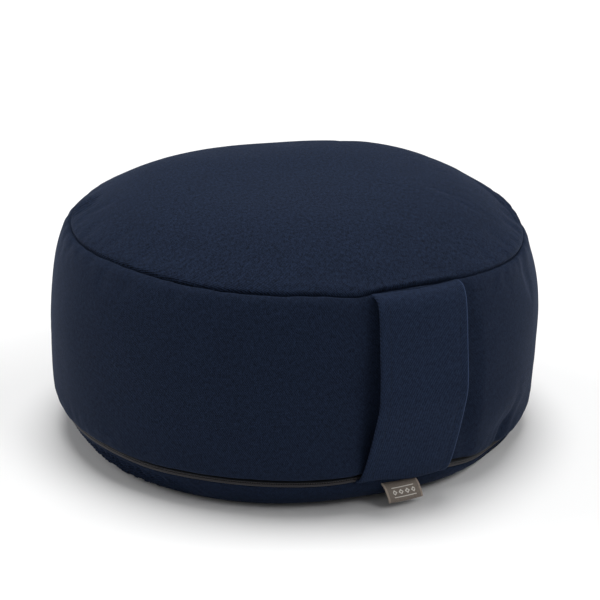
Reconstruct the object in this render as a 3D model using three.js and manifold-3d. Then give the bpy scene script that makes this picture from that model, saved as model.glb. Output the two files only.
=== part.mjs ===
// Round floor cushion: a zipped twill cover over a bag of husks, with a carry strap on its side.
// Millimetres, +Z up. The origin is the centre of the base, and the strap is on the -Y side.

import * as THREE from 'three';
import { mergeVertices } from 'three/addons/utils/BufferGeometryUtils.js';
import Module from 'manifold-3d';

const wasm = await Module();
wasm.setup();

// ---------------------------------------------------------------- driving dimensions

const TOTAL_HEIGHT = 173; // floor to the crown of the top panel
const BELLY_RADIUS = 165; // widest part of the side band
const BELLY_Z = 78;
const TOP_SEAM_RADIUS = 149.4;
const TOP_SEAM_Z = 141.5;
const BAND_FOOT_RADIUS = 159.7; // the band's folded lower edge, above the zipper
const BAND_FOOT_Z = 22.1;
const PANEL_EDGE_RADIUS = 156.8; // the bottom panel's folded edge, below the zipper
const PANEL_EDGE_Z = 17.4;
const CONTACT_RADIUS = 141; // flat part of the base
const FABRIC = 1.2; // thickness of the cover
const SEAM_ALLOWANCE = 8;
const GAP = 0.3; // clearance between pieces that touch

const DOME_POWER = 3.6; // how flat the top is before it falls to its seam
const SHOULDER_POWER = 1.61; // roundness of the band from the belly up
const FOOT_POWER = 2.64; // roundness of the band from the belly down

const STRAP_WIDTH = 63;
const STRAP_THICKNESS = 2;
const STRAP_SLANT = 0.0975; // sideways shift of the strap for each unit of height
const STRAP_MID_Z = 81; // height at which the slanted strap is centred

const LABEL_WIDTH = 24;
const LABEL_THICKNESS = 1;
const LABEL_CENTRE_X = -9;
const LABEL_SLANT = -0.28;

const CARE_LABEL_WIDTH = 25;
const CARE_LABEL_THICKNESS = 0.5;
const CARE_LABEL_LOW_Z = 62;
const CARE_LABEL_HIGH_Z = 94;
const CARE_LABEL_CLEARANCE = 2.4; // from the inner bag

const CHAIN_OUTER_RADIUS = 155.6; // outer face of the zipper tapes
const TAPE = 0.8; // thickness of a zipper tape
const TAPE_LEAN = 1.7; // the lower tape leans in to clear the rounded panel
const COIL = 1.7; // size of a coil, seen from its end
const COIL_GAP = 0.35; // between a tape and its coil
const CHAIN_MID_Z = 20.2;
const SLIT = 1.6; // between the two halves of the chain
const CHAIN_JOIN = 6; // gap at the back, where the chain's ends are sewn into the closing seam

const SLIDER_ANGLE = 95; // degrees from +X, parked beside the closed end
const OPEN_STOP_ANGLE = 250; // degrees from +X, just before the strap

const BAG = 0.8; // thickness of the inner bag
const BAG_BASE_Z = 1.5;
const BAG_BELLY_RADIUS = 158.5;
const BAG_BELLY_Z = 80;
const BAG_SEAM_RADIUS = 143.5;
const BAG_SEAM_Z = 136.2;
const BAG_CROWN_Z = 168.4;
const BAG_FOOT_RADIUS = 146;
const BAG_FOOT_Z = 22.4;
const BAG_CONTACT_RADIUS = 138;
const BAG_ZIP_HALF_ANGLE = 29; // degrees each side of the middle of the inner zipper
const BAG_ZIP_ANGLE = 180; // degrees from +X to the middle of the inner zipper
const BAG_SLIDER_ANGLE = 157;
const BAG_SLOT_HALF_HEIGHT = 4.2; // of the opening that the inner zipper closes
const BAG_TAPE_HALF_HEIGHT = 3.8;

const COVER_SEGMENTS = 48;
const CHAIN_SEGMENTS = 60;
const BAG_SEGMENTS = 40;

// ---------------------------------------------------------------- helpers

const radians = THREE.MathUtils.degToRad;

function cloth(colour, roughness = 0.95) {
  return new THREE.MeshStandardMaterial({ color: colour, roughness, metalness: 0 });
}

function metal(colour) {
  return new THREE.MeshStandardMaterial({ color: colour, roughness: 0.4, metalness: 0.9 });
}

const NAVY = 0x252e3f;
const TAUPE = 0x6b625b;
const NATURAL = 0xd9cfbb;
const WHITE = 0xe8e6e0;
const HUSK = 0x5b4330;
const GUNMETAL = 0x4a4a4c;

/** A solid of revolution about Z from [radius, height] pairs, listed anticlockwise. */
function revolve(profile, segments = COVER_SEGMENTS) {
  const points = profile.map(([radius, height]) => new THREE.Vector2(radius, height));
  return new THREE.LatheGeometry(points, segments).rotateX(Math.PI / 2);
}

/** A ring about Z: the profile closes on itself. */
function ring(profile, segments) {
  return revolve([...profile, profile[0]], segments);
}

/** A quarter of a rounded box curve, from its side (0) to its end (1), as [radius, height] pairs. */
function roundedQuarter(centreRadius, centreZ, across, along, power, steps) {
  const points = [];
  for (let step = 0; step <= steps; step += 1) {
    const turn = (step / steps) * (Math.PI / 2);
    const side = Math.cos(turn) ** (2 / power);
    const end = Math.sin(turn) ** (2 / power);
    points.push([centreRadius + across * (step === steps ? 0 : side), centreZ + along * end]);
  }
  return points;
}

/** A dome over a round panel, from the axis outwards, as [radius, height] pairs. */
function dome(edgeRadius, edgeZ, crownZ, steps) {
  const points = [];
  for (let step = 0; step <= steps; step += 1) {
    const share = Math.sin((step / steps) * (Math.PI / 2));
    points.push([edgeRadius * share, edgeZ + (crownZ - edgeZ) * (1 - share ** DOME_POWER)]);
  }
  return points;
}

/** A solid for cutting and joining, from a closed geometry. */
function toSolid(geometry) {
  const bare = geometry.clone();
  bare.deleteAttribute('normal');
  bare.deleteAttribute('uv');
  const merged = mergeVertices(bare, 1e-3);
  return new wasm.Manifold(new wasm.Mesh({
    numProp: 3,
    vertProperties: new Float32Array(merged.attributes.position.array),
    triVerts: new Uint32Array(merged.index.array),
  }));
}

function toGeometry(solid) {
  const mesh = solid.getMesh();
  const geometry = new THREE.BufferGeometry();
  geometry.setAttribute('position', new THREE.BufferAttribute(mesh.vertProperties, 3));
  geometry.setIndex(new THREE.BufferAttribute(mesh.triVerts, 1));
  geometry.computeVertexNormals();
  return geometry;
}

/** A block between two corners. */
function block([lowX, lowY, lowZ], [highX, highY, highZ]) {
  const geometry = new THREE.BoxGeometry(highX - lowX, highY - lowY, highZ - lowZ);
  return geometry.translate((lowX + highX) / 2, (lowY + highY) / 2, (lowZ + highZ) / 2);
}

/** An upright cylinder. */
function post(radius, x, y, lowZ, highZ, sides = 14) {
  const geometry = new THREE.CylinderGeometry(radius, radius, highZ - lowZ, sides);
  return geometry.rotateX(Math.PI / 2).translate(x, y, (lowZ + highZ) / 2);
}

/** A slice of a ring, with a rectangular section, between two angles in degrees. */
function arcBlock(innerRadius, outerRadius, lowZ, highZ, fromAngle, toAngle) {
  const outline = new THREE.Shape();
  outline.absarc(0, 0, outerRadius, radians(fromAngle), radians(toAngle), false);
  outline.absarc(0, 0, innerRadius, radians(toAngle), radians(fromAngle), true);
  const options = { depth: highZ - lowZ, bevelEnabled: false, curveSegments: 14 };
  return new THREE.ExtrudeGeometry(outline, options).translate(0, 0, lowZ);
}

/** Turns an extrusion drawn in XY and pushed along Z into one drawn in YZ and pushed along X. */
const ALONG_X = new THREE.Matrix4().makeBasis(
  new THREE.Vector3(0, 1, 0),
  new THREE.Vector3(0, 0, 1),
  new THREE.Vector3(1, 0, 0),
);

const cushion = new THREE.Group();

function add(name, geometry, material, parent = cushion) {
  const mesh = new THREE.Mesh(geometry, material);
  mesh.name = name;
  parent.add(mesh);
  return mesh;
}

/** A group turned about Z, in which +X points outwards and +Y runs along the zipper. */
function station(angle) {
  const group = new THREE.Group();
  group.rotation.z = radians(angle);
  cushion.add(group);
  return group;
}

// ---------------------------------------------------------------- cover

function coverTopPanel() {
  const edgeZ = TOP_SEAM_Z + GAP;
  const allowanceOuter = TOP_SEAM_RADIUS - FABRIC * 0.7;
  const allowanceInner = allowanceOuter - FABRIC;
  const under = dome(TOP_SEAM_RADIUS, edgeZ, TOTAL_HEIGHT - FABRIC, 7);
  const over = dome(TOP_SEAM_RADIUS, edgeZ + FABRIC, TOTAL_HEIGHT, 8).reverse();
  const inside = under.filter(([radius]) => radius < allowanceInner - 1);
  const allowanceFoot = edgeZ - SEAM_ALLOWANCE;
  return revolve([
    ...inside,
    [allowanceInner, edgeZ + FABRIC],
    [allowanceInner, allowanceFoot],
    [allowanceOuter, allowanceFoot],
    [allowanceOuter, edgeZ],
    [TOP_SEAM_RADIUS, edgeZ],
    ...over,
  ]);
}

/** One skin of the side band, from the foot up to the top seam, moved in by an inset. */
function bandSkin(inset) {
  const footAcross = BELLY_RADIUS - BAND_FOOT_RADIUS - inset;
  const footDown = BAND_FOOT_Z + inset - BELLY_Z;
  const foot = roundedQuarter(BAND_FOOT_RADIUS, BELLY_Z, footAcross, footDown, FOOT_POWER, 5);
  const topAcross = BELLY_RADIUS - TOP_SEAM_RADIUS - inset;
  const topUp = TOP_SEAM_Z - inset - BELLY_Z;
  const top = roundedQuarter(TOP_SEAM_RADIUS, BELLY_Z, topAcross, topUp, SHOULDER_POWER, 6);
  return [...foot.reverse(), ...top.slice(1)];
}

function coverSideBand() {
  const allowanceFoot = TOP_SEAM_Z - SEAM_ALLOWANCE;
  const inner = bandSkin(FABRIC).reverse();
  const allowanceOuter = TOP_SEAM_RADIUS + FABRIC;
  const below = inner.filter(([radius]) => radius > allowanceOuter + 0.5);
  return ring([
    ...bandSkin(0),
    [TOP_SEAM_RADIUS, allowanceFoot],
    [allowanceOuter, allowanceFoot],
    [allowanceOuter, TOP_SEAM_Z - FABRIC * 1.2],
    ...below,
    inner[inner.length - 1],
  ]);
}

/** The underside of a drum: flat, then rounded up to an edge, from the axis outwards. */
function footSkin(contactRadius, baseZ, edgeRadius, edgeZ, inset, steps) {
  const points = [[0, baseZ + inset], [contactRadius, baseZ + inset]];
  for (let step = 1; step <= steps; step += 1) {
    const turn = (step / steps) * (Math.PI / 2);
    const across = edgeRadius - inset - contactRadius;
    const rise = edgeZ - baseZ - inset;
    points.push([
      contactRadius + across * Math.sin(turn),
      baseZ + inset + rise * (1 - Math.cos(turn)),
    ]);
  }
  return points;
}

function coverBottomPanel() {
  const skin = (inset) => footSkin(CONTACT_RADIUS, 0, PANEL_EDGE_RADIUS, PANEL_EDGE_Z, inset, 4);
  return revolve([...skin(0), ...skin(FABRIC).reverse()]);
}

// ---------------------------------------------------------------- strap and labels

/** The whole cover as one solid, a little bigger all round, to trim what is sewn to it. */
function trimmingDrum() {
  const swell = 0.45;
  const band = bandSkin(0).map(([radius, height]) => [radius + swell, height]);
  return toSolid(revolve([
    [0, -1],
    [PANEL_EDGE_RADIUS + swell, -1],
    [PANEL_EDGE_RADIUS + swell, PANEL_EDGE_Z],
    ...band,
    [TOP_SEAM_RADIUS + swell, TOP_SEAM_Z + 4],
    [0, TOP_SEAM_Z + 4],
  ]));
}

/**
 * A band of cloth whose outer face follows [distance from the axis, height] points on the -Y side.
 * It is extruded along X and then leans sideways by the slant.
 */
function clothBand(outerFace, thickness, width, centreX, slant, slantZ) {
  const curve = new THREE.SplineCurve(outerFace.map(([out, z]) => new THREE.Vector2(-out, z)));
  const steps = (outerFace.length - 1) * 2;
  const outer = [];
  const inner = [];
  for (let step = 0; step <= steps; step += 1) {
    const point = curve.getPoint(step / steps);
    const along = curve.getTangent(step / steps);
    const inward = new THREE.Vector2(along.y, -along.x).multiplyScalar(thickness);
    outer.push(point);
    inner.push(point.clone().add(inward));
  }
  const outline = new THREE.Shape([...outer, ...inner.reverse()]);
  const geometry = new THREE.ExtrudeGeometry(outline, { depth: width, bevelEnabled: false });
  geometry.translate(0, 0, centreX - width / 2).applyMatrix4(ALONG_X);
  const lean = new THREE.Matrix4().set(
    1, 0, slant, -slant * slantZ,
    0, 1, 0, 0,
    0, 0, 1, 0,
    0, 0, 0, 1,
  );
  return geometry.applyMatrix4(lean);
}

function carryStrap() {
  const face = [
    [143, 143.6],
    [152, 143.2],
    [158.2, 140],
    [161.4, 133],
    [163.6, 122],
    [168, 109],
    [173.2, 95],
    [174.5, 80],
    [173.2, 64],
    [169.8, 50],
    [166.8, 37],
    [164, 23.9],
    [158.5, 17.5],
    [150, 17.3],
  ];
  const strap = clothBand(
    face.reverse(),
    STRAP_THICKNESS,
    STRAP_WIDTH,
    0,
    STRAP_SLANT,
    STRAP_MID_Z,
  );
  return toGeometry(toSolid(strap).subtract(trimmingDrum()));
}

function wovenLabel() {
  const face = [[163.9, 3], [163.6, 7.5], [161.6, 12.6], [157.6, 16.8], [150, 16.8]].reverse();
  const tag = clothBand(
    face.reverse(),
    LABEL_THICKNESS,
    LABEL_WIDTH,
    LABEL_CENTRE_X,
    LABEL_SLANT,
    PANEL_EDGE_Z,
  );
  return toGeometry(toSolid(tag).subtract(trimmingDrum()));
}

/** Sewn into the back closing seam, lying between the cover and the inner bag. */
function careLabel() {
  const half = CARE_LABEL_WIDTH / 2;
  const near = BAG_BELLY_RADIUS + CARE_LABEL_CLEARANCE;
  const far = near + CARE_LABEL_THICKNESS;
  return block([-half, near, CARE_LABEL_LOW_Z], [half, far, CARE_LABEL_HIGH_Z]);
}

// ---------------------------------------------------------------- zippers

/** The block that parts the chain's two ends at the back. */
function chainJoin() {
  const half = CHAIN_JOIN / 2;
  const reach = 20;
  const low = [-half, CHAIN_OUTER_RADIUS - reach, CHAIN_MID_Z - reach];
  const high = [half, CHAIN_OUTER_RADIUS + reach, CHAIN_MID_Z + reach];
  return toSolid(block(low, high));
}

function chainPiece(profile) {
  return toGeometry(toSolid(ring(profile, CHAIN_SEGMENTS)).subtract(chainJoin()));
}

const tapeInner = CHAIN_OUTER_RADIUS - TAPE;
const upperEdge = CHAIN_MID_Z + SLIT / 2;
const lowerEdge = CHAIN_MID_Z - SLIT / 2;

function upperTape() {
  const top = BAND_FOOT_Z + SEAM_ALLOWANCE;
  return chainPiece([
    [tapeInner, upperEdge],
    [CHAIN_OUTER_RADIUS, upperEdge],
    [CHAIN_OUTER_RADIUS, top],
    [tapeInner, top],
  ]);
}

function lowerTape() {
  const foot = PANEL_EDGE_Z - SEAM_ALLOWANCE + 1.5;
  return chainPiece([
    [tapeInner - TAPE_LEAN, foot],
    [CHAIN_OUTER_RADIUS - TAPE_LEAN, foot],
    [CHAIN_OUTER_RADIUS, lowerEdge],
    [tapeInner, lowerEdge],
  ]);
}

function coil(lowZ) {
  const outer = tapeInner - COIL_GAP;
  const profile = [[outer - COIL, lowZ], [outer, lowZ], [outer, lowZ + COIL], [outer - COIL, lowZ + COIL]];
  return chainPiece(profile);
}

const SLIDER = {
  outerPlate: 1.2, // thickness of the plate that shows
  innerPlate: 1.1, // thickness of the plate behind the coils
  innerClearance: 0.85, // between the coils and the plate behind them
  below: 3.6, // from the slit to the lower edge
  above: 3.3, // from the slit to the upper edge
  postHalfLength: 1.5,
  postHalfHeight: 0.4,
  lipHeight: 0.5, // of the flanges that guide the coils
  upperLip: 1.5,
  lowerLip: 1.2,
  overlap: 0.1, // how far joined blocks run into each other
};

const PIN = {
  reach: 1.5, // from the outer plate to the middle of the pin
  radius: 0.42,
  earHalfLength: 1.3,
  earHeight: 0.9,
  earReach: 2.6,
};

const PULL = {
  barrelRadius: 1.15,
  barrelHalfHeight: 1.25,
  holeRadius: 0.78,
  halfThickness: 0.4,
  halfWidth: 2.4,
  neckStart: 0.9,
  neckEnd: 3.5,
  neckOverlap: 0.5,
  eyeRadius: 1.1,
  eyeShift: 0.6,
};

/**
 * A slider for a chain whose tapes' outer face is at faceRadius and whose slit is at midZ.
 * Two plates hold the chain between them, joined by a post through the slit, and two ears carry
 * the pin of the pull. It is drawn with +X outwards.
 */
function slider({ faceRadius, midZ, outerGap, halfLength, pinDrop }) {
  const bar = (from, to) => toSolid(block(from, to));
  const outerFace = faceRadius + outerGap;
  const plateOuter = outerFace + SLIDER.outerPlate;
  const innerFace = faceRadius - TAPE - COIL_GAP - COIL - SLIDER.innerClearance;
  const low = midZ - SLIDER.below;
  const high = midZ + SLIDER.above;
  const inner = innerFace - SLIDER.overlap;
  const postLow = [inner, -SLIDER.postHalfLength, midZ - SLIDER.postHalfHeight];
  const postHigh = [outerFace + SLIDER.overlap, SLIDER.postHalfLength, midZ + SLIDER.postHalfHeight];
  const highLip = [innerFace + SLIDER.upperLip, halfLength, high];
  const lowLip = [innerFace + SLIDER.lowerLip, halfLength, low + SLIDER.lipHeight];
  let body = bar([outerFace, -halfLength, low], [plateOuter, halfLength, high]);
  body = body.add(bar([innerFace - SLIDER.innerPlate, -halfLength, low], [innerFace, halfLength, high]));
  body = body.add(bar(postLow, postHigh));
  body = body.add(bar([inner, -halfLength, high - SLIDER.lipHeight], highLip));
  body = body.add(bar([inner, -halfLength, low], lowLip));

  const pinX = plateOuter + PIN.reach;
  const earHalfGap = PULL.barrelHalfHeight + GAP;
  const middle = midZ - pinDrop;
  for (const earLow of [middle - earHalfGap - PIN.earHeight, middle + earHalfGap]) {
    const near = [plateOuter - SLIDER.overlap, -PIN.earHalfLength, earLow];
    const far = [plateOuter + PIN.earReach, PIN.earHalfLength, earLow + PIN.earHeight];
    body = body.add(bar(near, far));
  }
  const pinHalf = earHalfGap + GAP;
  return toGeometry(body.add(toSolid(post(PIN.radius, pinX, 0, middle - pinHalf, middle + pinHalf))));
}

/** The flat pull that turns on the slider's pin, lying back along the chain. */
function pull({ faceRadius, midZ, outerGap, pinDrop, length }) {
  const pinX = faceRadius + outerGap + SLIDER.outerPlate + PIN.reach;
  const middle = midZ - pinDrop;
  const { barrelHalfHeight, halfThickness, halfWidth, neckEnd } = PULL;
  const low = middle - barrelHalfHeight;
  const high = middle + barrelHalfHeight;
  const barrel = toSolid(post(PULL.barrelRadius, pinX, 0, low, high, 16));
  const hole = toSolid(post(PULL.holeRadius, pinX, 0, low - 1, high + 1, 16));
  const neckFar = [pinX - halfThickness, -neckEnd - PULL.neckOverlap, low];
  const neck = toSolid(block(neckFar, [pinX + halfThickness, -PULL.neckStart, high]));
  const tip = -length + halfWidth;
  const outline = new THREE.Shape();
  outline.moveTo(tip, -halfWidth);
  outline.lineTo(-neckEnd, -halfWidth);
  outline.lineTo(-neckEnd, halfWidth);
  outline.lineTo(tip, halfWidth);
  outline.absarc(tip, 0, halfWidth, Math.PI / 2, (3 * Math.PI) / 2, false);
  const eye = new THREE.Path();
  eye.absarc(tip + PULL.eyeShift, 0, PULL.eyeRadius, 0, Math.PI * 2, true);
  outline.holes.push(eye);
  const options = { depth: halfThickness * 2, bevelEnabled: false, curveSegments: 8 };
  const tab = new THREE.ExtrudeGeometry(outline, options);
  tab.applyMatrix4(ALONG_X).translate(pinX - halfThickness, 0, middle);
  return toGeometry(barrel.add(neck).subtract(hole).add(toSolid(tab)));
}

/** A crimped stop: an I-shaped clip through the slit, drawn with +X outwards. */
function chainStop() {
  const length = 2.2;
  const plate = 0.8; // thickness of each jaw
  const jaw = 1.7; // half height of each jaw
  const web = 0.4; // half height of the web that joins them
  const outer = CHAIN_OUTER_RADIUS + COIL_GAP;
  const inner = tapeInner - COIL_GAP - COIL - web;
  const outline = new THREE.Shape([
    [inner - plate, -jaw],
    [inner, -jaw],
    [inner, -web],
    [outer, -web],
    [outer, -jaw],
    [outer + plate, -jaw],
    [outer + plate, jaw],
    [outer, jaw],
    [outer, web],
    [inner, web],
    [inner, jaw],
    [inner - plate, jaw],
  ].map(([x, y]) => new THREE.Vector2(x, y)));
  const clip = new THREE.ExtrudeGeometry(outline, { depth: length, bevelEnabled: false });
  return clip.translate(0, 0, -length / 2).rotateX(Math.PI / 2).translate(0, 0, CHAIN_MID_Z);
}

const coverChain = {
  faceRadius: CHAIN_OUTER_RADIUS,
  midZ: CHAIN_MID_Z,
  outerGap: 1.7,
  halfLength: 5.5,
  pinDrop: 1.2,
  length: 17,
};

const bagChain = {
  faceRadius: BAG_BELLY_RADIUS,
  midZ: BAG_BELLY_Z,
  outerGap: 0.5,
  halfLength: 5,
  pinDrop: 0,
  length: 15,
};

// ---------------------------------------------------------------- inner bag and filling

/** One skin of the inner bag's band, from its foot up to its top seam. */
function bagBandSkin(inset) {
  const across = BAG_BELLY_RADIUS - inset;
  const footDown = BAG_FOOT_Z + inset - BAG_BELLY_Z;
  const foot = roundedQuarter(BAG_FOOT_RADIUS, BAG_BELLY_Z, across - BAG_FOOT_RADIUS, footDown, 2, 4);
  const topUp = BAG_SEAM_Z - inset - BAG_BELLY_Z;
  const topAcross = across - BAG_SEAM_RADIUS;
  const top = roundedQuarter(BAG_SEAM_RADIUS, BAG_BELLY_Z, topAcross, topUp, SHOULDER_POWER, 4);
  return [...foot.reverse(), ...top.slice(1)];
}

function bagTopPanel() {
  const edgeZ = BAG_SEAM_Z + GAP;
  const under = dome(BAG_SEAM_RADIUS, edgeZ, BAG_CROWN_Z - BAG, 6);
  const over = dome(BAG_SEAM_RADIUS, edgeZ + BAG, BAG_CROWN_Z, 6).reverse();
  return revolve([...under, ...over], BAG_SEGMENTS);
}

function bagSideBand() {
  const band = toSolid(ring([...bagBandSkin(0), ...bagBandSkin(BAG).reverse()], BAG_SEGMENTS));
  const half = BAG_ZIP_HALF_ANGLE + 1;
  const reach = 8;
  const slot = arcBlock(
    BAG_BELLY_RADIUS - reach,
    BAG_BELLY_RADIUS + reach,
    BAG_BELLY_Z - BAG_SLOT_HALF_HEIGHT,
    BAG_BELLY_Z + BAG_SLOT_HALF_HEIGHT,
    BAG_ZIP_ANGLE - half,
    BAG_ZIP_ANGLE + half,
  );
  return toGeometry(band.subtract(toSolid(slot)));
}

function bagBottomPanel() {
  const edgeZ = BAG_FOOT_Z - GAP;
  const skin = (inset) => footSkin(BAG_CONTACT_RADIUS, BAG_BASE_Z, BAG_FOOT_RADIUS, edgeZ, inset, 3);
  return revolve([...skin(0), ...skin(BAG).reverse()], BAG_SEGMENTS);
}

/** A tape or coil of the inner zipper, between two heights and two radii. */
function bagChainPiece(innerRadius, outerRadius, lowZ, highZ) {
  const from = BAG_ZIP_ANGLE - BAG_ZIP_HALF_ANGLE;
  const to = BAG_ZIP_ANGLE + BAG_ZIP_HALF_ANGLE;
  return arcBlock(innerRadius, outerRadius, BAG_BELLY_Z + lowZ, BAG_BELLY_Z + highZ, from, to);
}

/** The filling keeps clear of the bag, and of the inner zipper's coils and slider at its belly. */
function huskFilling() {
  const clear = 0.5;
  const shrink = 3; // smaller than the bag at its seams
  const footRise = 20;
  const base = BAG_BASE_Z + BAG + clear;
  const belly = BAG_BELLY_RADIUS - TAPE - COIL - SLIDER.innerClearance - SLIDER.innerPlate - clear * 2;
  const footRadius = BAG_FOOT_RADIUS - shrink;
  const footDown = base + footRise - BAG_BELLY_Z;
  const foot = roundedQuarter(footRadius, BAG_BELLY_Z, belly - footRadius, footDown, 2, 4).reverse();
  const seamRadius = BAG_SEAM_RADIUS - shrink;
  const seamZ = BAG_SEAM_Z - clear * 4;
  const topUp = seamZ - BAG_BELLY_Z;
  const top = roundedQuarter(seamRadius, BAG_BELLY_Z, belly - seamRadius, topUp, SHOULDER_POWER, 4).slice(1);
  const crown = dome(seamRadius, seamZ, BAG_CROWN_Z - BAG - clear, 5).reverse().slice(1);
  return revolve([[0, base], [BAG_CONTACT_RADIUS - 2, base], ...foot, ...top, ...crown], BAG_SEGMENTS);
}

// ---------------------------------------------------------------- assembly

add('cover_top_panel', coverTopPanel(), cloth(NAVY));
add('cover_side_band', coverSideBand(), cloth(NAVY));
add('cover_bottom_panel', coverBottomPanel(), cloth(NAVY));
add('carry_strap', carryStrap(), cloth(NAVY));
add('woven_label', wovenLabel(), cloth(TAUPE));
add('care_label', careLabel(), cloth(WHITE));

add('zipper_tape_upper', upperTape(), cloth(TAUPE));
add('zipper_tape_lower', lowerTape(), cloth(TAUPE));
add('zipper_coil_upper', coil(upperEdge), cloth(TAUPE, 0.6));
add('zipper_coil_lower', coil(lowerEdge - COIL), cloth(TAUPE, 0.6));

const sliderPlace = station(SLIDER_ANGLE);
add('zipper_slider', slider(coverChain), metal(GUNMETAL), sliderPlace);
add('zipper_pull', pull(coverChain), metal(GUNMETAL), sliderPlace);
add('zipper_closed_end_stop', chainStop(), metal(GUNMETAL), station(SLIDER_ANGLE - 2.9));
add('zipper_open_end_stop', chainStop(), metal(GUNMETAL), station(OPEN_STOP_ANGLE));

add('inner_bag_top_panel', bagTopPanel(), cloth(NATURAL));
add('inner_bag_side_band', bagSideBand(), cloth(NATURAL));
add('inner_bag_bottom_panel', bagBottomPanel(), cloth(NATURAL));

const bagFace = BAG_BELLY_RADIUS;
const bagTapeInner = bagFace - TAPE;
const bagCoilOuter = bagTapeInner - COIL_GAP;
const bagCoilInner = bagCoilOuter - COIL;
const halfSlit = SLIT / 2;
const coilTop = halfSlit + COIL;
const tapeTop = BAG_TAPE_HALF_HEIGHT;
add('inner_zipper_tape_upper', bagChainPiece(bagTapeInner, bagFace, halfSlit, tapeTop), cloth(NATURAL));
add('inner_zipper_tape_lower', bagChainPiece(bagTapeInner, bagFace, -tapeTop, -halfSlit), cloth(NATURAL));
add('inner_zipper_coil_upper', bagChainPiece(bagCoilInner, bagCoilOuter, halfSlit, coilTop), cloth(WHITE));
add('inner_zipper_coil_lower', bagChainPiece(bagCoilInner, bagCoilOuter, -coilTop, -halfSlit), cloth(WHITE));

const bagSliderPlace = station(BAG_SLIDER_ANGLE);
add('inner_zipper_slider', slider(bagChain), metal(GUNMETAL), bagSliderPlace);
add('inner_zipper_pull', pull(bagChain), metal(GUNMETAL), bagSliderPlace);

add('husk_filling', huskFilling(), cloth(HUSK));

export default cushion;
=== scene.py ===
"""Round floor cushion: the detailed visual model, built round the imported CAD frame.

Shapes are worked out in millimetres and in polar form: an angle about Z, counted from +X, and a
[radius, height] pair. They turn into metres when a mesh is made. The strap is on the -Y side.
"""

import math
from contextlib import contextmanager

import bmesh
import bpy
import numpy as np
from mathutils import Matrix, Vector


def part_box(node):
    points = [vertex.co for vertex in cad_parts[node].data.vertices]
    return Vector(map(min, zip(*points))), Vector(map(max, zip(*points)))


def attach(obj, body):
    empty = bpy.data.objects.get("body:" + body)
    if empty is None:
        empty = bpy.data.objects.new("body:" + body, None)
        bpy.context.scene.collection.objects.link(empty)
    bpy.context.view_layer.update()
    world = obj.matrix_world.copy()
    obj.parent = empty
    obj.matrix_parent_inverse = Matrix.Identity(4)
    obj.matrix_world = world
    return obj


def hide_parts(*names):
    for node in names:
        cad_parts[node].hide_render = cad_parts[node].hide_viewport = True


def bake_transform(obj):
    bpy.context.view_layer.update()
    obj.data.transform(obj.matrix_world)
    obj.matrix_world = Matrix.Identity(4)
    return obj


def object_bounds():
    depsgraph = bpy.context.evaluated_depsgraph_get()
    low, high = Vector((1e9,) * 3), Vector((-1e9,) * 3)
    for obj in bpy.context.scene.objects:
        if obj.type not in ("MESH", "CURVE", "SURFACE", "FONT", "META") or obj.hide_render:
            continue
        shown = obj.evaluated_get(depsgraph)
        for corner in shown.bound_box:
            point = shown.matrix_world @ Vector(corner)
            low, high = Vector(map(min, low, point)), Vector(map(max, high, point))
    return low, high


MM = 0.001

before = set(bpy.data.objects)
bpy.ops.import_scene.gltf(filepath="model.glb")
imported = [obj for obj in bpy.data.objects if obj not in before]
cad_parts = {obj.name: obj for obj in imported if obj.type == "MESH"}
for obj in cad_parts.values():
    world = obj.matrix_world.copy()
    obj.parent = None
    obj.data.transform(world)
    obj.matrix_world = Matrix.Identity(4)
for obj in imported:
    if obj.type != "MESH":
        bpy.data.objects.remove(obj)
cad_low, cad_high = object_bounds()


def box_mm(node):
    """Lowest and highest corner of a CAD node, in millimetres."""
    low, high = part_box(node)
    return np.array(low) / MM, np.array(high) / MM


_, top_high = box_mm("cover_top_panel")
band_low, band_high = box_mm("cover_side_band")
_, base_high = box_mm("cover_bottom_panel")
bag_top_low, bag_top_high = box_mm("inner_bag_top_panel")
bag_band_low, bag_band_high = box_mm("inner_bag_side_band")
bag_base_low, bag_base_high = box_mm("inner_bag_bottom_panel")
tape_low, tape_high = box_mm("zipper_tape_upper")
tape_foot_low, tape_foot_high = box_mm("zipper_tape_lower")

# ---- driving dimensions, millimetres

CROWN_Z = top_high[2]
SEAM_RADIUS = top_high[0]
SEAM_Z = band_high[2] + 0.8  # between the two layers that meet in the top seam
BELLY_RADIUS = band_high[0]
BELLY_Z = 78
FOOT_RADIUS = 159.7  # the band's folded lower edge
FOOT_Z = band_low[2] + 1.4
EDGE_RADIUS = base_high[0]  # the bottom panel's folded edge
EDGE_Z = base_high[2] - 0.5
CONTACT_RADIUS = 141
FABRIC = 1.2
ALLOWANCE = 8

DOME_POWER = 3.6
SHOULDER_POWER = 1.61
FOOT_POWER = 2.64

STRAP_ANGLE = -90
BACK_SEAM_ANGLE = 90  # where the band and the zipper are closed into rings
COLUMNS = 720
SIM_COLUMNS = 240
SIM_FRAMES = 20

angles = np.arange(COLUMNS) * (2 * math.pi / COLUMNS)


# ---- small shape helpers


def away(angle, centre):
    """Signed distance in degrees from a centre angle, for an angle in radians."""
    return (np.degrees(angle) - centre + 180) % 360 - 180


def bell(value, width):
    return np.exp(-((value / width) ** 2))


def hump(angle, centre, width):
    """A smooth rise to 1 round a centre angle. centre and width are in degrees."""
    return bell(away(angle, centre), width)


def smooth(value, low, high):
    """0 below low, 1 above high, with a smooth change between them."""
    share = np.clip((value - low) / (high - low), 0, 1)
    return share * share * (3 - 2 * share)


def graded(total, first, growth, largest):
    """Distances from 0 to total whose steps start small and grow."""
    distances = [0.0]
    step = first
    while distances[-1] + step * 1.3 < total:
        distances.append(distances[-1] + step)
        step = min(step * growth, largest)
    distances.append(total)
    return np.array(distances)


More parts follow.
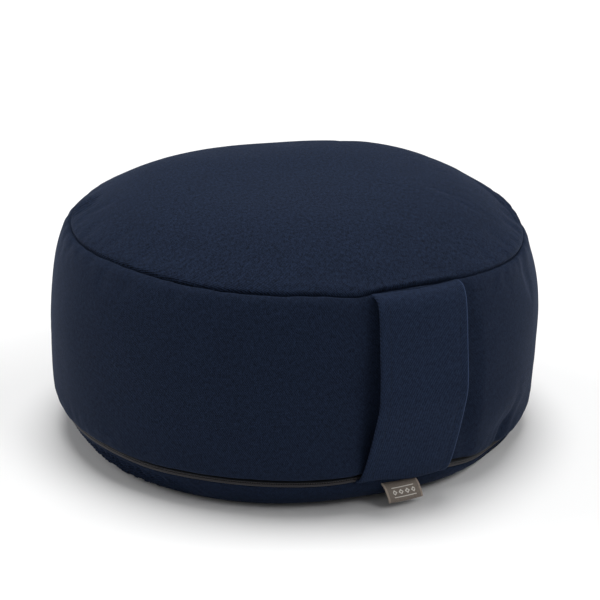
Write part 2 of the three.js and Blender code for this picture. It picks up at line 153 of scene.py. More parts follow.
def waves(count, shortest, longest, seed):
    """Seeded plane waves for lumps(): direction times wave number, and phase."""
    source = np.random.default_rng(seed)
    directions = source.normal(size=(count, 3))
    directions /= np.linalg.norm(directions, axis=1)[:, None]
    lengths = source.uniform(shortest, longest, count)
    return directions * (2 * math.pi / lengths)[:, None], source.uniform(0, 2 * math.pi, count)


def lumps(radius, height, angle, wave_set):
    """A smooth field in space, roughly from -1 to 1."""
    x, y = radius * np.cos(angle), radius * np.sin(angle)
    numbers, phases = wave_set
    total = np.zeros(np.broadcast(x, y, height).shape)
    for (kx, ky, kz), phase in zip(numbers, phases):
        total = total + np.cos(kx * x + ky * y + kz * height + phase)
    return total / math.sqrt(len(phases) * 2)


BROAD_WAVES = waves(14, 60, 130, 11)
SMALL_WAVES = waves(20, 16, 34, 12)
PUCKER_WAVES = waves(18, 5.5, 13, 13)


# ---- profile of the full cover


def rounded(edge_r, edge_z, belly_r, belly_z, power, turn):
    """A rounded part of a profile, between an edge of the side band and its belly."""
    radius = edge_r + (belly_r - edge_r) * np.cos(turn) ** (2 / power)
    return radius, belly_z + (edge_z - belly_z) * np.sin(turn) ** (2 / power)


def base_curve():
    """Crown to band foot as one curve: even steps of distance along it, with radius and height."""
    share = np.sin(np.linspace(0, math.pi / 2, 900))
    dome_r = SEAM_RADIUS * share
    dome_z = SEAM_Z + (CROWN_Z - SEAM_Z) * (1 - share**DOME_POWER)
    turn = np.linspace(math.pi / 2, 0, 500)[1:]
    shoulder_r, shoulder_z = rounded(SEAM_RADIUS, SEAM_Z, BELLY_RADIUS, BELLY_Z, SHOULDER_POWER, turn)
    turn = np.linspace(0, math.pi / 2, 500)[1:]
    foot_r, foot_z = rounded(FOOT_RADIUS, FOOT_Z, BELLY_RADIUS, BELLY_Z, FOOT_POWER, turn)
    foot_r[-1] = FOOT_RADIUS
    radius = np.concatenate([dome_r, shoulder_r, foot_r])
    height = np.concatenate([dome_z, shoulder_z, foot_z])
    along = np.concatenate([[0], np.cumsum(np.hypot(np.diff(radius), np.diff(height)))])
    even = np.arange(0, along[-1], 0.25)
    radius = np.interp(even, along, radius)
    height = np.interp(even, along, height)
    kernel = bell(np.arange(-24, 25) * 0.25, 3.2)
    kernel /= kernel.sum()
    corner = np.interp(-SEAM_Z, -height, even)
    near = bell(even - corner, 14)
    for values in (radius, height):
        padded_values = np.pad(values, 24, mode="edge")
        softened = np.convolve(padded_values, kernel, "valid")
        values += (softened - values) * near
    return even, radius, height


curve_s, curve_r, curve_z = base_curve()


def seam_height(angle):
    """The top seam rises a little on one side, sinks on the other, and dips just before the strap."""
    rise = 1.9 * hump(angle, -162, 24)
    sink = -5.6 * smooth(away(angle, -62), -42, 20) * (1 - smooth(away(angle, 60), -45, 60))
    dip = -1.7 * hump(angle, -103.5, 6) - 0.4 * hump(angle, -92, 12)
    return SEAM_Z + rise + sink + dip


def slump(s, angle):
    """How far the top is above its round shape: sunk in two places, raised a little in two more."""
    behind = -1.9 * hump(angle, 90, 34) * smooth(s, 20, 90) * (1 - smooth(s, 135, 165))
    shoulder = -4.6 * hump(angle, -36, 28) * smooth(s, 105, 150) * (1 - smooth(s, 170, 215))
    raised = 3.0 * hump(angle, 21, 28) + 1.2 * hump(angle, 124, 20)
    return behind + shoulder + raised * smooth(s, 50, 115) * (1 - smooth(s, 140, 175))


def zipper_drop(angle):
    """How far the zipper line sags below its plane: most to the right of the strap."""
    sag = 13 * smooth(away(angle, -91), 0, 35) * (1 - smooth(away(angle, -54), 0, 34))
    ripple = 0.8 * hump(angle, -153, 9) + 0.6 * hump(angle, 176, 11)
    return sag + ripple - 1.8 * hump(angle, -101, 7)


def tuck(angle):
    """How far the zipper line is pulled in at the kink."""
    return 8.4 * hump(angle, -58, 14)


def foot_height(angle):
    """Height of the band's folded lower edge."""
    return FOOT_Z - zipper_drop(angle)


def edge_height(angle):
    """Height of the bottom panel's folded edge."""
    return EDGE_Z - zipper_drop(angle) - 0.8 * hump(angle, STRAP_ANGLE, 13)


def contact_radius(angle):
    """Where the cushion's flat foot ends."""
    right = 3.5 * hump(angle, -82, 24) + 7.5 * hump(angle, -57, 15)
    front = 6 * hump(angle, -101, 17)
    return CONTACT_RADIUS + 2.5 * hump(angle, -145, 32) - right - front


seam_s = np.interp(-seam_height(angles), -curve_z, curve_s)


def drawn_in(angle, height):
    """How far the side is drawn in from its round shape: at the kink, and behind the strap."""
    low = bell(np.clip(height - 22, 0, 60), 17)
    under_strap = smooth(away(angle, -105.5), 0, 6) * (1 - smooth(away(angle, -77), 0, 6))
    hollow = 3.8 * bell(height - 106, 26) + 7.2 * bell(height - 58, 34)
    return tuck(angle) * low + under_strap * hollow


def cover_point(s, angle):
    """Radius and height on the smooth cover, at a distance s along its profile."""
    radius = np.interp(s, curve_s, curve_r)
    height = np.interp(s, curve_s, curve_z)
    reach = (BELLY_Z - foot_height(angle)) / (BELLY_Z - FOOT_Z)
    height = np.where(height < BELLY_Z, BELLY_Z - (BELLY_Z - height) * reach, height)
    low = bell(np.clip(height - 22, 0, 60), 17)
    radius = radius + 1.3 * hump(angle, -28, 36) * bell(height - 104, 34)
    radius = radius - 0.8 * hump(angle, 152, 36) * bell(height - 92, 34)
    radius = radius + 1.4 * hump(angle, -51, 5) * low
    radius = radius - drawn_in(angle, height)
    return radius, height + slump(s, angle)


def across(radius, height):
    """Outward unit normals of [radius, height] curves that run from the axis outwards and down."""
    dr = np.gradient(radius, axis=0)
    dz = np.gradient(height, axis=0)
    length = np.hypot(dr, dz) + 1e-9
    return -dz / length, dr / length


def add_object(name, data):
    made = bpy.data.objects.new(name, data)
    bpy.context.scene.collection.objects.link(made)
    return made


def add_mesh(name, points, faces):
    mesh = bpy.data.meshes.new(name)
    mesh.from_pydata([tuple(point) for point in points], [], faces)
    return add_object(name, mesh)


# ---- cloth simulation of the cover


def closed_rows():
    """Rows of the whole closed cover, for the simulation, with the panel and share of each row."""
    wide = np.arange(SIM_COLUMNS) * (2 * math.pi / SIM_COLUMNS)
    seam = np.interp(-seam_height(wide), -curve_z, curve_s)
    rows = []
    for share in np.linspace(0.04, 1, 34):
        rows.append(("top", share, *cover_point(seam * share, wide)))
    for share in np.linspace(0, 1, 34)[1:]:
        rows.append(("band", share, *cover_point(seam + (curve_s[-1] - seam) * share, wide)))
    for share in np.linspace(0, 1, 16)[1:]:
        rows.append(("base", share, *base_point(1 - share, wide)))
    return wide, rows


def base_point(share, angle):
    """Radius and height on the bottom panel: 1 at its edge, 0 near its centre."""
    inner = contact_radius(angle)
    turn = np.clip((share - 0.5) / 0.5, 0, 1) * (math.pi / 2)
    edge_r = EDGE_RADIUS - tuck(angle)
    straight = 0.6 * hump(angle, 176, 34)
    curved_r = inner + (edge_r - inner) * ((1 - straight) * np.sin(turn) + straight * (1 - np.cos(turn)))
    curved_z = edge_height(angle) * (1 - np.cos(turn))
    flat_r = inner * np.clip(share / 0.5, 0.04, 1)
    return np.where(share > 0.5, curved_r, flat_r), np.where(share > 0.5, curved_z, 0.0)


def closed_faces(count):
    """Faces between count rings of points, and one face over the first and the last ring."""
    faces = []
    for row in range(count - 1):
        for column in range(SIM_COLUMNS):
            after = (column + 1) % SIM_COLUMNS
            near, far = row * SIM_COLUMNS, (row + 1) * SIM_COLUMNS
            faces.append((near + column, far + column, far + after, near + after))
    faces.append(tuple(range(SIM_COLUMNS)))
    last = (count - 1) * SIM_COLUMNS
    faces.append(tuple(last + column for column in reversed(range(SIM_COLUMNS))))
    return faces


def simulate_cover():
    """Inflates the cover with its seams held, and gives how far each row moved outwards, in mm."""
    wide, rows = closed_rows()
    radius = np.array([row[2] * np.ones(SIM_COLUMNS) for row in rows])
    height = np.array([row[3] * np.ones(SIM_COLUMNS) for row in rows])
    source = np.random.default_rng(5)
    radius_start = radius + source.normal(scale=0.08, size=radius.shape)
    points = np.stack([radius_start * np.cos(wide), radius_start * np.sin(wide), height], axis=-1) * MM
    body = add_mesh("cover_in_motion", points.reshape(-1, 3), closed_faces(len(rows)))
    held = body.vertex_groups.new(name="sewn")
    for index, (panel, share, _, _) in enumerate(rows):
        sewn = (panel == "top" and share == 1) or (panel == "band" and share == 1) or panel == "base"
        if sewn or index == 0:
            held.add(list(range(index * SIM_COLUMNS, (index + 1) * SIM_COLUMNS)), 1.0, "REPLACE")
    cloth = body.modifiers.new("cloth", "CLOTH")
    settings = cloth.settings
    settings.quality = 6
    settings.mass = 0.2
    settings.tension_stiffness = 20
    settings.compression_stiffness = 20
    settings.shear_stiffness = 8
    settings.bending_stiffness = 0.4
    settings.use_pressure = True
    settings.uniform_pressure_force = 4
    settings.shrink_min = -0.012
    settings.vertex_group_mass = held.name
    settings.effector_weights.gravity = 0
    cloth.point_cache.frame_start = 1
    cloth.point_cache.frame_end = SIM_FRAMES
    for step in range(1, SIM_FRAMES + 1):
        bpy.context.scene.frame_set(step)
    graph = bpy.context.evaluated_depsgraph_get()
    moved_mesh = body.evaluated_get(graph).to_mesh()
    moved = np.zeros(len(moved_mesh.vertices) * 3)
    moved_mesh.vertices.foreach_get("co", moved)
    body.evaluated_get(graph).to_mesh_clear()
    moved = moved.reshape(len(rows), SIM_COLUMNS, 3) / MM
    normal_r, normal_z = across(radius, height)
    moved_r = moved[..., 0] * np.cos(wide) + moved[..., 1] * np.sin(wide)
    outward = (moved_r - radius) * normal_r + (moved[..., 2] - height) * normal_z
    outward -= outward.mean(axis=1, keepdims=True)
    outward = np.clip(outward, -5, 5)
    bpy.data.meshes.remove(body.data)
    bpy.context.scene.frame_set(1)
    return {
        panel: np.array([line for line, row in zip(outward, rows) if row[0] == panel])
        for panel in ("top", "band", "base")
    }


def spline_parts(position):
    """Whole part of a position, and the four weights of a smooth cubic spline there."""
    whole = np.floor(position).astype(int)
    part = position - whole
    weights = (
        (1 - part) ** 3 / 6,
        (3 * part**3 - 6 * part**2 + 4) / 6,
        (-3 * part**3 + 3 * part**2 + 3 * part + 1) / 6,
        part**3 / 6,
    )
    return whole, weights


def sample(field, share, angle):
    """Smooth lookup in rows (share 0 to 1) and columns (angle, all the way round)."""
    row, row_weights = spline_parts(np.clip(share, 0, 1) * (field.shape[0] - 1))
    column, column_weights = spline_parts(angle / (2 * math.pi) * field.shape[1])
    total = 0
    for row_step, row_weight in enumerate(row_weights):
        line = np.clip(row + row_step - 1, 0, field.shape[0] - 1)
        for column_step, column_weight in enumerate(column_weights):
            spot = (column + column_step - 1) % field.shape[1]
            total = total + field[line, spot] * row_weight * column_weight
    return total


SWELL = simulate_cover()


def swell(panel, share, angle):
    """The simulated unevenness of a panel, in mm."""
    if SWELL is None:
        return 0 * share * angle
    return sample(SWELL[panel], share, angle)


# ---- meshes


def make_mesh(name, points, faces, corners=None):
    """An object from points in metres, faces, and a flat-cloth position for each face corner."""
    made = add_mesh(name, points, faces)
    mesh = made.data
    if corners is not None:
        layer = mesh.uv_layers.new(name="cloth")
        layer.data.foreach_set("uv", np.asarray(corners, np.float32).ravel())
    mesh.polygons.foreach_set("use_smooth", [True] * len(mesh.polygons))
    mesh.validate()
    mesh.update()
    return made


@contextmanager
def edited(made):
    """The mesh of an object, open for editing. Its faces all point outwards afterwards."""
    edit = bmesh.new()
    edit.from_mesh(made.data)
    yield edit
    bmesh.ops.recalc_face_normals(edit, faces=edit.faces)
    edit.to_mesh(made.data)
    edit.free()


def loft(name, points, flat, wrap_rows=False, wrap_columns=True, first_pole=None, last_pole=None):
    """A grid of points as one surface. flat holds the flat-cloth place of each corner, in metres."""
    rows, columns = points.shape[:2]
    vertices = list(points.reshape(-1, 3))
    faces = []
    corners = []
    row_steps = rows if wrap_rows else rows - 1
    column_steps = columns if wrap_columns else columns - 1
    for row in range(row_steps):
        near = row * columns
        far = ((row + 1) % rows) * columns
        for column in range(column_steps):
            after = (column + 1) % columns
            faces.append((near + column, far + column, far + after, near + after))
            for row_step, place in ((0, column), (1, column), (1, column + 1), (0, column + 1)):
                corners.append(flat[row + row_step, place])
    for pole, row in ((first_pole, 0), (last_pole, rows - 1)):
        if pole is None:
            continue
        place, flat_place = pole
        tip = len(vertices)
        vertices.append(place)
        start = row * columns
        for column in range(column_steps):
            ends = [column, column + 1] if row == 0 else [column + 1, column]
            faces.append((tip, start + ends[0] % columns, start + ends[1] % columns))
            corners += [flat_place, flat[row, ends[0]], flat[row, ends[1]]]
    made = make_mesh(name, vertices, faces, corners)
    with edited(made):
        pass  # only the faces turn outwards
    return made


def close_sides(made, flat):
    """Quads between the two layers of a folded strip, along both its sides."""
    rows, columns = flat.shape[0] - 1, flat.shape[1]
    with edited(made) as edit:
        layer = edit.loops.layers.uv.active
        edit.verts.ensure_lookup_table()
        for column in (0, columns - 1):
            for row in range(rows // 2 - 1):
                corners = (row, row + 1, rows - 2 - row, rows - 1 - row)
                face = edit.faces.new([edit.verts[index * columns + column] for index in corners])
                face.smooth = True
                for corner, index in zip(face.loops, corners):
                    corner[layer].uv = flat[index, column]


def turned(radius, height, angle):
    """Points in metres from radius and height at an angle."""
    radius, height, angle = np.broadcast_arrays(radius, height, angle)
    return np.stack([radius * np.cos(angle), radius * np.sin(angle), height], axis=-1) * MM


def pole(height):
    """A point on the axis, in metres, that closes a round panel, and its flat-cloth place."""
    return np.array([0, 0, height]) * MM, np.zeros(2)


def wrapped(along, angle):
    """Distances with their first column repeated at the end, and the angles with a full turn added."""
    return np.concatenate([along, along[:, :1]], axis=1), np.append(angle, angle[0] + 2 * math.pi)


def flat_disc(along, angle):
    """Flat-cloth places of a round panel, from the distance along its profile to its centre."""
    along, turn = wrapped(along, angle)
    return np.stack([along * np.cos(turn), along * np.sin(turn)], axis=-1) * MM


def flat_strip(along, angle, radius):
    """Flat-cloth places of a strip that runs round the cushion."""
    along, turn = wrapped(along, angle)
    return np.stack([np.broadcast_to(turn * radius, along.shape), along], axis=-1) * MM


def panel_rows(*parts):
    """One grid of radii and one of heights, from parts that each give [radius, height] rows."""
    rows = [row for part in parts for row in part]
    return np.array([row[0] for row in rows]), np.array([row[1] for row in rows])


def underside(outer_r, outer_z, normal_r, normal_z, picked):
    """Rows of the inner skin, one cloth thickness below the picked rows of the outer skin."""
    return zip((outer_r - normal_r * FABRIC)[picked], (outer_z - normal_z * FABRIC)[picked])


# ---- sculpted cloth detail


def seam_form(distance):
    """Height of cloth near a seam: it rolls over and down into the stitching."""
    return -1.9 * bell(distance, 0.95) - 0.4 * bell(distance, 3.2) + 0.3 * bell(distance - 5.5, 4.5)


def puckers(radius, height, distance, reach, depth):
    """Small pulls of the cover's cloth that fade away from a seam."""
    strength = 0.55 + 0.45 * lumps(radius, height, angles, BROAD_WAVES)
    fade = np.exp(-np.abs(distance) / reach) * (1 - bell(distance, 1.0))
    return depth * strength * lumps(radius, height, angles, PUCKER_WAVES) * fade


def top_detail(angle, distance):
    """Pleats and creases of the top panel, by angle and by distance from its seam."""
    run = away(angle, 150.5) * math.radians(1) * SEAM_RADIUS
    pleat = np.cos(2 * math.pi * (run + 0.25 * distance) / 5.6)
    pleats = 0.8 * pleat * bell(run, 13) * smooth(distance, 0.8, 4) * (1 - smooth(distance, 12, 27))
    run = away(angle, -32) * math.radians(1) * SEAM_RADIUS
    creases = 0
    for slope, height, width in ((0.10, 0.5, 1.3), (0.21, -0.45, 1.5), (0.30, 0.5, 1.6), (0.42, -0.4, 2.0)):
        line = bell(distance - 1.5 - slope * np.clip(run, 0, 200), width + 0.02 * np.clip(run, 0, 200))
        creases = creases + height * line
    creases = 1.6 * creases * smooth(run, -2, 12) * (1 - smooth(run, 45, 95))
    return pleats + creases


def band_detail(angle, distance, from_foot):
    """Folds of the side band, by angle, distance from its top seam and distance from its foot."""
    pull_in = -0.7 * hump(angle, -103, 4.5) * np.exp(-distance / 14)
    run = away(angle, -58) * math.radians(1) * FOOT_RADIUS
    kink = -0.9 * bell(run - 0.55 * (from_foot - 6), 4) * (1 - smooth(from_foot, 12, 30))
    kink = kink + 0.6 * bell(run - 9 - 0.55 * (from_foot - 6), 6) * (1 - smooth(from_foot, 14, 32))
    closing = away(angle, BACK_SEAM_ANGLE) * math.radians(1) * BELLY_RADIUS
    closing_seam = -1.0 * bell(closing, 0.9) - 0.3 * bell(closing, 3.2)
    return pull_in + kink + closing_seam


def base_detail(angle, distance):
    """Diagonal folds of the bottom panel between the zipper and the floor."""
    run = away(angle, 195) * math.radians(1) * EDGE_RADIUS
    wander = 2.0 * np.sin(run / 9.0) + 1.1 * np.sin(run / 4.3 + 1)
    fold = np.sin(2 * math.pi * (run - 1.15 * distance + wander) / 6.6)
    fold = fold + 0.4 * np.sin(2 * math.pi * (run - 0.8 * distance) / 4.1 + 2)
    window = bell(run, 46) * smooth(distance, 1.0, 5) * (1 - smooth(distance, 17, 25))
    run_right = away(angle, -60) * math.radians(1) * EDGE_RADIUS
    fold_right = np.sin(2 * math.pi * (run_right + 0.9 * distance) / 11)
    window_right = bell(run_right, 18) * smooth(distance, 1.5, 6) * (1 - smooth(distance, 15, 24))
    return 1.7 * fold * window + 0.6 * fold_right * window_right


def unevenness(radius, height):
    broad = lumps(radius, height, angles, BROAD_WAVES)
    return 0.45 * broad + 0.05 * lumps(radius, height, angles, SMALL_WAVES)


# ---- cover panels


def seam_frames(s, angle):
    """Point, outward normal and downward tangent of the cover at a distance s."""
    radius, height = cover_point(s, angle)
    before_r, before_z = cover_point(s - 2, angle)
    after_r, after_z = cover_point(s + 2, angle)
    length = np.hypot(after_r - before_r, after_z - before_z)
    tangent = ((after_r - before_r) / length, (after_z - before_z) / length)
    return (radius, height), (-tangent[1], tangent[0]), tangent


def allowance_rows(side, order):
    """Seam allowance that turns in and hangs down inside. side is -1 for the top panel, 1 for the band."""
    (radius, height), (normal_r, normal_z), (tangent_r, tangent_z) = seam_frames(seam_s, angles)
    rows = []
    face = 0.12 * side
    back = (0.12 + FABRIC * 0.85) * side
    for depth in (1.9, 3.0):
        point_r = radius + tangent_r * face - normal_r * depth
        rows.append((point_r, height + tangent_z * face - normal_z * depth))
    corner_r, corner_z = rows[-1]
    rows.append((corner_r, corner_z - ALLOWANCE + 3))
    rows.append((corner_r + back, corner_z - ALLOWANCE + 3))
    rows.append((corner_r + back, corner_z + 0.2 - 0.5 * (side > 0)))
    return rows if order > 0 else rows[::-1]


def cover_top_panel():
    near_seam = graded(float(seam_s.mean()), 0.42, 1.045, 4.2)[:-1]
    shares = 1 - near_seam[::-1] / seam_s.mean()
    s = seam_s * shares[:, None]
    radius, height = cover_point(s, angles)
    distance = seam_s - s
    normal_r, normal_z = across(radius, height)
    push = seam_form(distance) + puckers(radius, height, distance, 7, 0.3)
    push = push + top_detail(angles, distance) + unevenness(radius, height) * smooth(distance, 0, 25)
    over_strap = smooth(away(angles, -103), 0, 4) * (1 - smooth(away(angles, -80), 0, 4))
    push = push + over_strap * (0.8 * bell(distance - 2.4, 2.0) - 1.0 * bell(distance, 0.9))
    swelling = swell("top", shares[:, None] * np.ones(COLUMNS), angles * np.ones(s.shape))
    push = push + 0.8 * swelling * smooth(shares[:, None], 0.15, 0.55)
    outer_r = radius + normal_r * push
    outer_z = height + normal_z * push
    inside = np.flatnonzero((shares < 1 - 3.2 / seam_s.mean()) & (np.arange(len(shares)) % 2 == 0))[::-1]
    inner = list(underside(outer_r, outer_z, normal_r, normal_z, inside))
    all_r, all_z = panel_rows(zip(outer_r, outer_z), allowance_rows(-1, 1), inner)
    allowance_s = seam_s + np.array([2, 3, 8, 9, 4])[:, None]
    along = np.concatenate([s, allowance_s, s[inside]])
    return loft("cover_top_panel_cloth", turned(all_r, all_z, angles), flat_disc(along, angles),
                first_pole=pole(outer_z[0].mean()), last_pole=pole(inner[-1][1].mean()))

def cover_side_band():
    length = curve_s[-1] - seam_s.mean()
    from_top = graded(length / 2, 0.42, 1.06, 2.2)
    from_foot = graded(length / 2, 0.35, 1.07, 2.2)
    shares = np.concatenate([from_top, length - from_foot[::-1][1:]]) / length
    s = seam_s + (curve_s[-1] - seam_s) * shares[:, None]
    radius, height = cover_point(s, angles)
    distance = s - seam_s
    foot_distance = curve_s[-1] - s
    normal_r, normal_z = across(radius, height)
    push = seam_form(distance) + puckers(radius, height, distance, 7, 0.26)
    push = push + puckers(radius, height, foot_distance, 9, 0.3)
    push = push + band_detail(angles, distance, foot_distance)
    ease = smooth(distance, 0, 25) * smooth(foot_distance, 0, 12)
    push = push + unevenness(radius, height) * ease
    push = push + 0.8 * swell("band", shares[:, None] * np.ones(COLUMNS), angles * np.ones(s.shape))
    outer_r = radius + normal_r * push
    outer_z = height + normal_z * push
    lip_r, lip_z = outer_r[-1], outer_z[-1]
    lip = [
        (lip_r - 0.7, lip_z + 0.05),
        (lip_r - 1.3, lip_z + 0.45),
        (lip_r - 1.6, lip_z + 1.1),
        (lip_r - 1.5, lip_z + 3.0),
        (lip_r - 0.9, lip_z + 6.5),
    ]
    inside = np.flatnonzero((s.mean(axis=1) < curve_s[-1] - 9) & (distance.mean(axis=1) > 3.2))[::-2]
    inner = underside(outer_r, outer_z, normal_r, normal_z, inside)
    all_r, all_z = panel_rows(allowance_rows(1, -1), zip(outer_r, outer_z), lip, inner)
    allowance_s = seam_s - np.array([4, 9, 8, 3, 2])[:, None]
    lip_s = curve_s[-1] + np.array([0.7, 1.4, 2.2, 4, 7])[:, None] + 0 * seam_s
    along = np.concatenate([allowance_s, s, lip_s, s[inside], seam_s[None] - 5])
    return loft("cover_side_band_cloth", turned(all_r, all_z, angles),
                flat_strip(along, angles, BELLY_RADIUS), wrap_rows=True)


def cover_bottom_panel():
    curved = 1 - graded(1.0, 0.012, 1.05, 0.05)[::-1] * 0.5
    flat_part = np.linspace(0.06, 0.5, 14)[:-1]
    shares = np.concatenate([flat_part, curved])
    radius, height = base_point(shares[:, None], angles)
    steps = np.hypot(np.diff(radius, axis=0), np.diff(height, axis=0))
    along = np.concatenate([radius[:1], radius[:1] + np.cumsum(steps, axis=0)])
    distance = along[-1] - along
    dr, dz = np.gradient(radius, axis=0), np.gradient(height, axis=0)
    length = np.hypot(dr, dz) + 1e-9
    normal_r, normal_z = dz / length, -dr / length
    lift = smooth(height, 0.3, 5)
    push = base_detail(angles, distance) + puckers(radius, height, distance, 8, 0.3)
    push = push * lift
    outer_r = radius + normal_r * push
    outer_z = np.maximum(height + normal_z * push, 0)
    lip_r, lip_z = outer_r[-1], outer_z[-1]
    lip = [
        (lip_r - 0.35, lip_z + 0.75),
        (lip_r - 1.0, lip_z + 1.0),
        (lip_r - 1.55, lip_z + 0.7),
        (lip_r - 1.9, lip_z - 0.3),
        (lip_r - 2.2, lip_z - 4.0),
    ]
    inside = np.flatnonzero(distance.mean(axis=1) > 6)[::-2]
    inner = underside(outer_r, outer_z, normal_r, normal_z, inside)
    all_r, all_z = panel_rows(zip(outer_r, outer_z), lip, inner)
    lip_s = along[-1] + np.array([0.8, 1.5, 2.1, 3, 6.5])[:, None]
    all_s = np.concatenate([along, lip_s, along[inside]])
    return loft("cover_bottom_panel_cloth", turned(all_r, all_z, angles), flat_disc(all_s, angles),
                first_pole=pole(0), last_pole=pole(FABRIC))


top_panel = cover_top_panel()
side_band = cover_side_band()
bottom_panel = cover_bottom_panel()

# ---- carry strap

STRAP_WIDTH = 63
STRAP_HALF_THICKNESS = 1.05
STRAP_SLANT = 0.0975
STRAP_MID_Z = 88
STRAP_BEND_Z = 74  # where the two visual halves of the strap meet
STRAP_STITCH_INSET = 6.5

# Distance out and height of the strap's mid plane, from its end in the top seam to its lower end.
strap_path = np.array([
    [146.4, 136.4], [149.6, 138.8], [153.5, 139.3], [157.6, 137.9], [161.0, 133.6], [163.1, 127],
    [165.0, 118], [167.2, 108], [169.8, 97], [172.2, 86], [173.2, 79.5], [173.6, 74], [173.0, 67.5],
    [171.4, 59], [169.6, 50], [167.4, 40], [164.8, 29], [162.2, 21.5], [159.6, 17.6], [156.8, 16.0],
    [153.4, 16.1],
])


def distances(path):
    """Distance along a path to each of its points."""
    return np.concatenate([[0], np.cumsum(np.linalg.norm(np.diff(path, axis=0), axis=1))])


def spline_through(points, count):
    """Even points on a smooth curve through the given ones."""
    points = np.asarray(points, float)
    padded_points = np.concatenate([2 * points[:1] - points[1:2], points, 2 * points[-1:] - points[-2:-1]])
    fine = []
    for index in range(1, len(points)):
        a, b, c, d = padded_points[index - 1:index + 3]
        for t in np.linspace(0, 1, 20, endpoint=False):
            fine.append(0.5 * (2 * b + (c - a) * t + (2 * a - 5 * b + 4 * c - d) * t**2
                               + (3 * b - a - 3 * c + d) * t**3))
    fine.append(points[-1])
    fine = np.array(fine)
    along = distances(fine)
    even = np.linspace(0, along[-1], count)
    return np.stack([np.interp(even, along, fine[:, axis]) for axis in range(fine.shape[1])], axis=1), even


def normals_2d(path):
    """Outward normals of a [distance out, height] path that runs from the top down."""
    tangent = np.gradient(path, axis=0)
    tangent /= np.linalg.norm(tangent, axis=1)[:, None]
    return np.stack([-tangent[:, 1], tangent[:, 0]], axis=1)


def belly_rounding(x):
    """How far the round cushion falls back at a sideways distance x from the middle of the strap."""
    return BELLY_RADIUS - np.sqrt(BELLY_RADIUS**2 - x**2)


def strap_surface(path, normal, side, out):
    """A point on the strap: side is across it from its middle, out is above its mid plane."""
    height = path[..., 1] + normal[..., 1] * out
    x = side + STRAP_SLANT * (height - STRAP_MID_Z)
    reach = path[..., 0] + normal[..., 0] * out
    reach = reach - belly_rounding(x) * (0.75 + 0.25 * smooth(height, 110, 135))
    near_top = smooth(height, 118, 137)
    tilt = np.interp(np.degrees(np.arctan2(-reach, x)), [-120, -60],
                     [seam_height(math.radians(-120)), seam_height(math.radians(-60))])
    middle = seam_height(math.radians(STRAP_ANGLE))
    corner = 3.7 * (1 - smooth(x, -28, 2)) * (1 - smooth(height, 16, 50))
    height = height + (tilt - middle) * near_top + corner
    return np.stack([x, -reach, height], axis=-1) * MM


def strap_offset(side, face):
    """How far a face of the strap is from its mid plane: thicker folded edges, a sunk stitch line."""
    from_edge = STRAP_WIDTH / 2 - np.abs(side)
    plump = 0.16 * bell(from_edge - 2.4, 1.8)
    sunk = -0.16 * bell(from_edge - STRAP_STITCH_INSET, 0.8)
    wavy = 0.018 * np.sin(side * 0.9 + 0.4)
    return face * (STRAP_HALF_THICKNESS + plump + sunk) + wavy


def strap_section(lining):
    """Across positions and offsets of one turn round the flattened tube. The lining is its inside."""
    half = STRAP_WIDTH / 2 - (0.85 if lining else 0)
    roll = 0.16 if lining else STRAP_HALF_THICKNESS
    sides = []
    outs = []
    flat = np.linspace(-(half - roll), half - roll, 73)
    for face in (1, -1):
        for side in flat[::face]:
            sides.append(side)
            outs.append(roll * face if lining else strap_offset(side, face))
        for turn in np.linspace(math.pi / 2, -math.pi / 2, 9)[1:-1]:
            sides.append(face * (half - roll + roll * math.cos(turn)))
            outs.append(face * roll * math.sin(turn))
    return np.array(sides), np.array(outs)




path_points, path_along = spline_through(strap_path, 240)
path_normals = normals_2d(path_points)
strap_break = int(np.argmin(np.abs(path_points[:, 1] - STRAP_BEND_Z) + (path_points[:, 0] < 160) * 99))


def strap_wander(along, side):
    """Slight life in the strap: a soft hollow across it and gentle waves down it."""
    hang = smooth(along, 20, 60) * (1 - smooth(along, 110, 150))
    hollow = -0.5 * hang * bell(side, 20)
    return hollow + 0.25 * hang * np.sin(along / 17 + side / 25)


def strap_grid(lining):
    sides, outs = strap_section(lining)
    side = sides[None, :]
    out = outs[None, :] + strap_wander(path_along[:, None], side)
    return strap_surface(path_points[:, None, :], path_normals[:, None, :], side, out), sides


def strap_halves():
    """The tube in two parts, each closed with its lining and with its two cut faces."""
    outer, sides = strap_grid(False)
    lining, _ = strap_grid(True)
    around = np.concatenate([[0], np.cumsum(np.hypot(np.diff(sides), 0.01))])
    around = np.append(around, around[-1] + 1)
    flat = np.stack(np.broadcast_arrays(around[None, :], path_along[:, None]), axis=-1) * MM
    whole = loft("strap_whole", outer, flat)
    whole_normals = [tuple(vertex.normal) for vertex in whole.data.vertices]
    bpy.data.objects.remove(whole)
    halves = []
    for name, first, last in (("carry_strap_upper", 0, strap_break),
                              ("carry_strap_lower", strap_break, len(path_points) - 1)):
        part = slice(first, last + 1)
        points = np.concatenate([outer[part], lining[part][::-1]])
        places = np.concatenate([flat[part], flat[part][::-1], flat[first:first + 1]])
        half = loft(name, points, places, wrap_rows=True)
        normals = [tuple(vertex.normal) for vertex in half.data.vertices]
        outer_count = outer[part].shape[0] * outer.shape[1]
        start = first * outer.shape[1]
        normals[:outer_count] = whole_normals[start:start + outer_count]
        half.data.normals_split_custom_set_from_vertices(normals)
        halves.append(half)
    return halves


